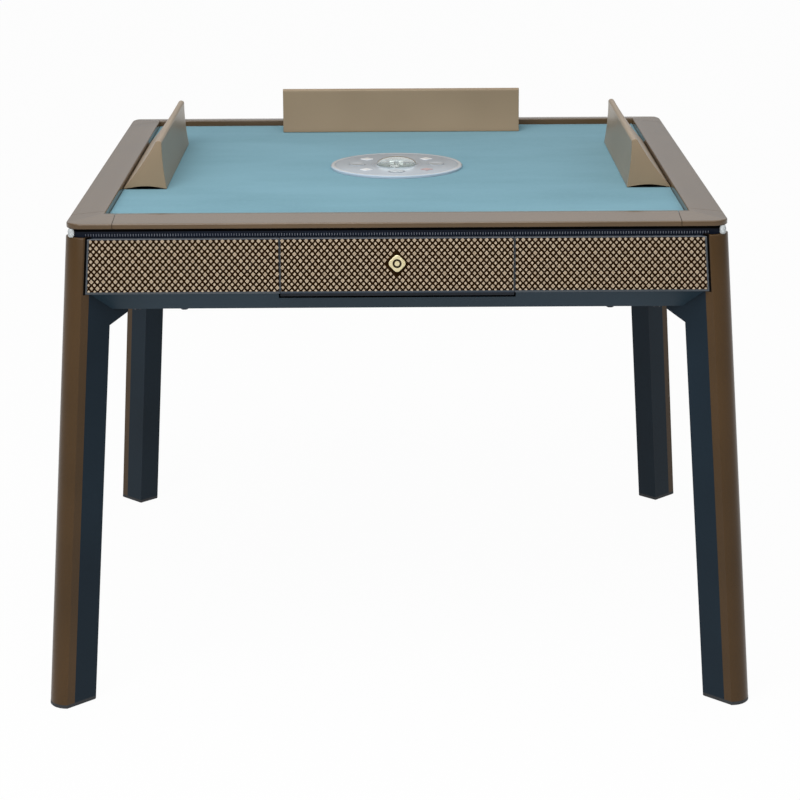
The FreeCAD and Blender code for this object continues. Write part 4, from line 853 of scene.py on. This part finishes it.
def drawer_badge(side):
    """A pale gold lozenge with a plain enamelled ring. Its outline is a square on its corner
    with round corners; rows draw in from the outline to circles, and dip where the ring is."""
    word = SIDES[side]
    radius = 6 * MM
    flat = BADGE_SPAN / 2 - radius
    centres = np.array(((flat, 0), (0, flat), (-flat, 0), (0, -flat)))
    turn = np.linspace(-math.pi / 4, math.pi / 4, 11)
    points = [c + radius * np.stack((np.cos(turn + k * math.pi / 2), np.sin(turn + k * math.pi / 2)), -1)
              for k, c in enumerate(centres)]
    tips = np.stack(points)
    side_share = np.linspace(0, 1, 12)[1:-1, None]
    sides = tips[:, -1:] * (1 - side_share) + np.roll(tips, -1, 0)[:, :1] * side_share
    outline = np.concatenate((tips, sides), 1).reshape(-1, 2)
    circle = outline / np.linalg.norm(outline, axis=1)[:, None]
    thick = 4.2 * MM - BED_DEPTH
    rows = [(outline, -BED_DEPTH)]
    rows += [(outline - circle * into, thick - sunk) for into, sunk in rounding(1.0 * MM, 5)]
    ring_out, ring_in, dip = 6.8 * MM, 3.9 * MM, 0.3 * MM
    rows += [(circle * reach, thick - sunk) for reach, sunk in (
        (ring_out + 1.6 * MM, 0.0), (ring_out + 0.2 * MM, 0.0), (ring_out, dip), (ring_in, dip),
        (ring_in - 0.2 * MM, 0.0), (1.2 * MM, 0.0))]
    placed = np.stack([on_panel(side, plan[:, 0], BADGE_MIDDLE + plan[:, 1], np.full(len(plan), out))
                       for plan, out in rows])
    count, section = placed.shape[:2]
    enamelled = np.arange(count - 1) == count - 4
    picks = np.repeat(enamelled, section).astype(int).tolist() + [0, 0]
    capped_bar(f"badge_{word}", placed, f"{word}_drawer", "badge", [GOLD, ENAMEL], picks,
               replaces=[f"drawer_badge_{word}"])


# Racks ----------------------------------------------------------------------------------

RIDGE_DROP = 1.5 * MM    # how far the ridge lies below the top of its node
RACK_SOFT = 0.9 * MM


def tile_rack(side):
    """A loose rack with softened edges. The section has an arched foot, a hollow face towards
    the table's middle, a rounded ridge and a hollowed slope; it is carried along the rack, and
    drawn in over the last millimetre at each end."""
    node = f"tile_rack_{SIDES[side]}"
    corners = turned(np.stack((low(node), high(node))), -side)
    near, far = np.min(corners, 0), np.max(corners, 0)
    outer, inner, foot, top = near[1], far[1], near[2], far[2] - RIDGE_DROP
    toe, land, rise, ridge, lean, bend = (v * MM for v in (2, 5.2, 4, 10.4, 6.2, 5.6))
    inner_hollow, outer_hollow = 400 * MM, 480 * MM
    half_arch = (inner - outer) / 2 - land
    arch = (half_arch ** 2 + rise ** 2) / (2 * rise)
    crest = top - (bend - math.sqrt(bend ** 2 - ridge ** 2 / 4))
    ridge_in, ridge_out = (inner - lean, crest), (inner - lean - ridge, crest)
    section = np.concatenate((
        np.array(((outer, foot), (outer + land, foot))),
        arc((outer + land, foot), (inner - land, foot), arch, False, 14),
        np.array(((inner, foot), (inner, foot + toe))),
        arc((inner, foot + toe), ridge_in, inner_hollow, False, 16),
        arc(ridge_in, ridge_out, bend, True, 10),
        arc(ridge_out, (outer, foot + toe), outer_hollow, False, 16),
    ))
    section = softened(section, RACK_SOFT)
    soft = rounding(RACK_SOFT, 5)
    ends = [(near[0] + along, inwards) for along, inwards in soft]
    ends += [(x, 0.0) for x in np.linspace(near[0] + 4 * RACK_SOFT, far[0] - 4 * RACK_SOFT, 7)]
    ends += [(far[0] - along, inwards) for along, inwards in soft[::-1]]
    rows = []
    for x, inwards in ends:
        plan = drawn_in(section, inwards)
        rows.append(np.stack((np.full(len(plan), x), plan[:, 0], plan[:, 1]), -1))
    capped_bar(f"rack_{SIDES[side]}", turned(np.stack(rows), side), f"{SIDES[side]}_rack", "rack",
               [RACK_BRONZE], replaces=[node], crease=40.0)


# Control disc ---------------------------------------------------------------------------

def button_place(side):
    """The middle of a side's button, in plan."""
    return tuple(turned(np.array((0.0, -BUTTON_REACH, 0.0)), side)[:2])


def flat_ring(name, inner, outer, rise, finish, centre=(0.0, 0.0)):
    """A thin ring on the disc, its upper edges bevelled: a closed profile, radius and height,
    carried round an upright axis."""
    foot, top = DISC_TOP, DISC_TOP + rise
    bevel, segments = 0.12 * MM, 96
    profile = np.array(((inner, foot), (outer, foot), (outer, top - bevel), (outer - bevel, top),
                        (inner + bevel, top), (inner, top - bevel)))
    rows = round_of(profile[:, 0], profile[:, 1], segments, centre)
    faces = grid_faces(len(profile), segments, wrap_rows=True, wrap_columns=True)
    build(name, rows, faces, "centre_disc", "disc", [finish])


def disc_details():
    """Trim on the disc: a pale rim with a grey line inside it, the dice window's ring with a line
    and tick marks round it, and a ring round each button."""
    flat_ring("disc_rim_band", DISC_RADIUS - 6.5 * MM, DISC_RADIUS - 1.6 * MM, 0.25 * MM, DISC_RIM)
    flat_ring("disc_line", DISC_RADIUS - 8.0 * MM, DISC_RADIUS - 7.2 * MM, 0.1 * MM, PRINT)
    flat_ring("window_ring", 34.4 * MM, 37.0 * MM, 0.3 * MM, BUTTON)
    flat_ring("window_line", 40.0 * MM, 40.9 * MM, 0.1 * MM, PRINT)
    for side, word in enumerate(SIDES):
        flat_ring(f"button_ring_{word}", 13.4 * MM, 14.6 * MM, 0.2 * MM, PRINT, button_place(side))
    tick_marks()


def tick_marks():
    """Short bars in a circle round the dice window, every fifteen degrees, thicker at the
    quarters: one small block turned about the disc's centre."""
    count = 24
    angle = np.arange(count) * 2 * math.pi / count
    quarter = np.arange(count) % 6 == 0
    inner, outer = 42.5 * MM, np.where(quarter, 46.5, 45.0) * MM
    half = np.where(quarter, 0.9, 0.5) * MM
    corners = ((0, -1), (1, -1), (1, 1), (0, 1))
    levels = (DISC_TOP - 0.05 * MM, DISC_TOP + 0.1 * MM)
    blocks = []
    for z in levels:
        for out, across in corners:
            radius = inner + (outer - inner) * out
            x = radius * np.cos(angle) - across * half * np.sin(angle)
            y = radius * np.sin(angle) + across * half * np.cos(angle)
            blocks.append(np.stack((x, y, np.full(count, z)), -1))
    points = np.stack(blocks, 1).reshape(-1, 3)
    box = np.array(((0, 3, 2, 1), (4, 5, 6, 7), (0, 1, 5, 4), (1, 2, 6, 5), (2, 3, 7, 6), (3, 0, 4, 7)))
    faces = (np.arange(count)[:, None, None] * 8 + box).reshape(-1, 4)
    build("window_ticks", points, faces, "centre_disc", "disc", [PRINT])


def player_button(side):
    """A button cap: upright side, rounded edge and a top that dips like a shallow dish."""
    word = SIDES[side]
    node = f"disc_button_{word}"
    foot, top = low(node)[2], high(node)[2]
    radius, edge, dip = 12.9 * MM, 0.8 * MM, 0.35 * MM
    profile = [(0.0, foot), (radius, foot)]
    profile += [(radius - into, top - sunk) for into, sunk in rounding(edge, 5)]
    dish = np.linspace(0.9, 0.1, 8)
    profile += [(radius * s, top - dip * (1 - s ** 2)) for s in dish] + [(0.0, top - dip)]
    turned_solid(f"button_{word}", profile, 72, f"{word}_button", "button", [BUTTON],
                 centre=button_place(side), replaces=[node])


def dice_dome():
    """The clear cover: an upright brim, then a quarter ellipse up to the crown, with an even
    wall inside. Below it lies a grey tray."""
    foot, top = low("dice_cover")[2], high("dice_cover")[2]
    radius, wall, brim = high("dice_cover")[0], 1.6 * MM, 1.5 * MM
    turn = np.linspace(0, math.pi / 2, 26)[1:-1]

    def shell(reach, crown):
        height = foot + brim + (crown - foot - brim) * np.sin(turn)
        return [(reach, foot), (reach, foot + brim)] + np.stack((reach * np.cos(turn), height), -1).tolist()

    inner = shell(radius - wall, top - wall)
    profile = [(0.0, top - wall)] + inner[::-1] + shell(radius, top) + [(0.0, top)]
    turned_solid("clear_dome", profile, 96, "centre_disc", "dice_cover", [GLASS], replaces=["dice_cover"])
    tray = ((0.0, 0.0), (31.6, 0.0), (31.6, 0.15), (28.0, 0.15), (27.0, 0.1), (2.0, 0.1), (0.0, 0.1))
    profile = [(reach * MM, foot + rise * MM) for reach, rise in tray]
    turned_solid("dice_tray", profile, 72, "centre_disc", "disc", [WINDOW])


def rounded_die(name, centre, size, spots):
    """A die: a cube whose surface points are pulled onto the same distance from an inner cube,
    which rounds every edge. Pips are shallow dark discs let into its faces."""
    steps = 9
    half, soft = size / 2, 1.1 * MM
    t = np.linspace(-1, 1, steps)
    a, b = np.meshgrid(t, t, indexing="ij")
    ones = np.ones(a.shape)
    sides = []
    for axis in range(3):
        for sign in (1, -1):
            face = np.roll(np.stack((ones * sign, a, b * sign), -1), axis, axis=-1)
            sides.append(face)
    cube = np.stack(sides) * half
    core = np.clip(cube, -(half - soft), half - soft)
    out = cube - core
    length = np.linalg.norm(out, axis=-1, keepdims=True)
    cube = core + out / np.maximum(length, 1e-9) * np.minimum(length, soft)
    faces = np.concatenate([grid_faces(steps, steps, first=k * steps * steps) for k in range(6)])
    piece = build(name, cube.reshape(-1, 3) + centre, faces, "centre_disc", "dice", [DICE], turn_out=False)
    merge(piece)
    pips, pip_faces = [], []
    edge, spread = 14, 0.26
    around = np.linspace(0, 2 * math.pi, edge, endpoint=False)
    disc = np.stack((np.cos(around), np.sin(around)), -1)
    for axis, sign, places in spots:
        for u, v in places:
            pip_faces += capped_faces(2, edge, len(pips) * edge)
            flat = disc * 0.75 * MM + np.array((u, v)) * size * spread
            for rise in (-0.2 * MM, 0.02 * MM):
                ring = np.stack((np.full(edge, sign * (half + rise)), flat[:, 0], flat[:, 1]), -1)
                pips.append(np.roll(ring, axis, axis=-1) + centre)
    build(name + "_pips", np.concatenate(pips), pip_faces, "centre_disc", "dice", [PIP])


def merge(piece):
    """Joins points that lie on one another and turns the faces outwards."""
    shell = bmesh.new()
    shell.from_mesh(piece.data)
    bmesh.ops.remove_doubles(shell, verts=shell.verts, dist=0.00001)
    bmesh.ops.recalc_face_normals(shell, faces=shell.faces)
    shell.to_mesh(piece.data)
    shell.free()


def pair_of_dice():
    """Two dice on the tray. Five, two and three pips show on one, three, six and one on the
    other; no pips lie underneath."""
    one, two = ((0, 0),), ((-1, -1), (1, 1))
    three, four = ((-1, -1), (0, 0), (1, 1)), ((-1, -1), (-1, 1), (1, -1), (1, 1))
    five = ((-1, -1), (-1, 1), (0, 0), (1, -1), (1, 1))
    six = ((-1, -1), (-1, 0), (-1, 1), (1, -1), (1, 0), (1, 1))
    size = 7.4 * MM
    z = low("dice")[2] + size / 2
    faces = ((2, 1), (1, -1), (0, 1), (1, 1), (0, -1))     # axis and sign: top, front, right, back, left
    shown = (("die_right", 1, (five, two, three, four, one)), ("die_left", -1, (three, six, one, two, four)))
    for name, sign, values in shown:
        centre = np.array((sign * 7.5 * MM, sign * size / 4, z))
        rounded_die(name, centre, size, [(*face, places) for face, places in zip(faces, values)])
    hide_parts("dice")


# Stage ----------------------------------------------------------------------------------

ROOM_LEVEL = 0.45


def node_makers(tree):
    """Empties a node tree and gives two makers for it. Each source of a new node goes to its next
    socket: an output is linked, and a value is set."""
    tree.nodes.clear()

    def add(kind, *sources):
        node = tree.nodes.new("ShaderNode" + kind)
        for socket, source in zip(node.inputs, sources):
            if isinstance(source, bpy.types.NodeSocket):
                tree.links.new(source, socket)
            else:
                socket.default_value = source
        return node

    def combine(how, *sources):
        node = add("Math", *sources)
        node.operation = how
        return node.outputs[0]

    return add, combine


def white_to_the_eye(name, shade, share):
    """Paper for the floor: it takes shadows, and to the camera and in mirrors part of it glows,
    so that it reads as white."""
    material = bpy.data.materials.new(name)
    material.use_nodes = True
    add, combine = node_makers(material.node_tree)
    rays = add("LightPath").outputs
    seen = combine("MAXIMUM", rays["Is Camera Ray"], rays["Is Glossy Ray"])
    paper = add("BsdfDiffuse", (shade, shade, shade, 1))
    glow = add("Emission")
    mix = add("MixShader", combine("MULTIPLY", seen, share), paper.outputs[0], glow.outputs[0])
    add("OutputMaterial", mix.outputs[0])
    return material


def floor():
    mesh = bpy.data.meshes.new("floor")
    reach = 14.0
    corners = [(x * reach, y * reach, 0) for x, y in ((-1, -1), (1, -1), (1, 1), (-1, 1))]
    mesh.from_pydata(corners, [], [(0, 1, 2, 3)])
    mesh.materials.append(white_to_the_eye("floor_paper", 0.86, 0.965))
    plane = bpy.data.objects.new("floor", mesh)
    bpy.context.scene.collection.objects.link(plane)


def world():
    """A pale room: even light on the object, white to the camera and through clear pieces. In
    mirrors it is white overhead and fades towards the horizon, as a lit ceiling does."""
    room = bpy.data.worlds.new("studio")
    room.use_nodes = True
    add, combine = node_makers(room.node_tree)
    rays = add("LightPath").outputs
    height = add("SeparateXYZ", add("TexCoord").outputs["Generated"]).outputs["Z"]
    above = add("MapRange", height, 0.1, 0.8, 0.45, 2.1).outputs["Result"]
    mirrored = combine("MULTIPLY", rays["Is Glossy Ray"], above)
    white = combine("MAXIMUM", rays["Is Camera Ray"], rays["Is Transmission Ray"])
    strength = combine("MAXIMUM", combine("MAXIMUM", white, mirrored), ROOM_LEVEL)
    add("OutputWorld", add("Background", (1, 1, 1, 1), strength).outputs[0])
    bpy.context.scene.world = room


def soft_box(name, place, towards, size, power):
    """A large square lamp at place, facing a point."""
    lamp = bpy.data.lights.new(name, "AREA")
    lamp.shape = "SQUARE"
    lamp.size = size
    lamp.energy = power
    holder = bpy.data.objects.new(name, lamp)
    holder.location = place
    holder.rotation_euler = (Vector(towards) - Vector(place)).to_track_quat("-Z", "Y").to_euler()
    bpy.context.scene.collection.objects.link(holder)


def camera():
    """A long lens in front of the table, a little above it and turned down, with a hair of roll."""
    place = Vector((-1.1357, -4014.6154, 1478.6519)) * MM
    pitch, roll = 0.2751, 0.0055                          # radians
    lens_pixels, picture, centre_x = 2380.0, 800.0, 397.1     # of a square frame 800 wide
    view = bpy.data.cameras.new("camera")
    view.sensor_width = 36.0
    view.lens = lens_pixels / picture * view.sensor_width
    view.shift_x = (picture / 2 - centre_x) / picture
    view.clip_start, view.clip_end = 0.05, 100.0
    holder = bpy.data.objects.new("camera", view)
    right = Vector((1, 0, 0))
    up = Vector((0, math.sin(pitch), math.cos(pitch)))
    back = right.cross(up)
    turn = Matrix((right, up, back)).transposed() @ Matrix.Rotation(-roll, 3, "Z")
    holder.matrix_world = Matrix.Translation(place) @ turn.to_4x4()
    bpy.context.scene.collection.objects.link(holder)
    bpy.context.scene.camera = holder


finish_nodes()
for turn in range(4):
    straight_rail(turn)
    corner_block(turn)
    drawer_badge(turn)
    player_button(turn)
for turn in (1, 2, 3):
    tile_rack(turn)
felt_top()
dress_panels()
ribbed_trim()
rail_shadow_band()
corner_spools()
leg_covers()
disc_details()
dice_dome()
pair_of_dice()
floor()
world()
soft_box("overhead", (-0.5, -1.9, 3.1), (0, 0, 0.7), 2.4, 68.0)
soft_box("key", (-1.6, -4.2, 2.3), (0, 0, 0.5), 2.4, 40.0)
camera()

bpy.context.scene.view_settings.view_transform = "Standard"
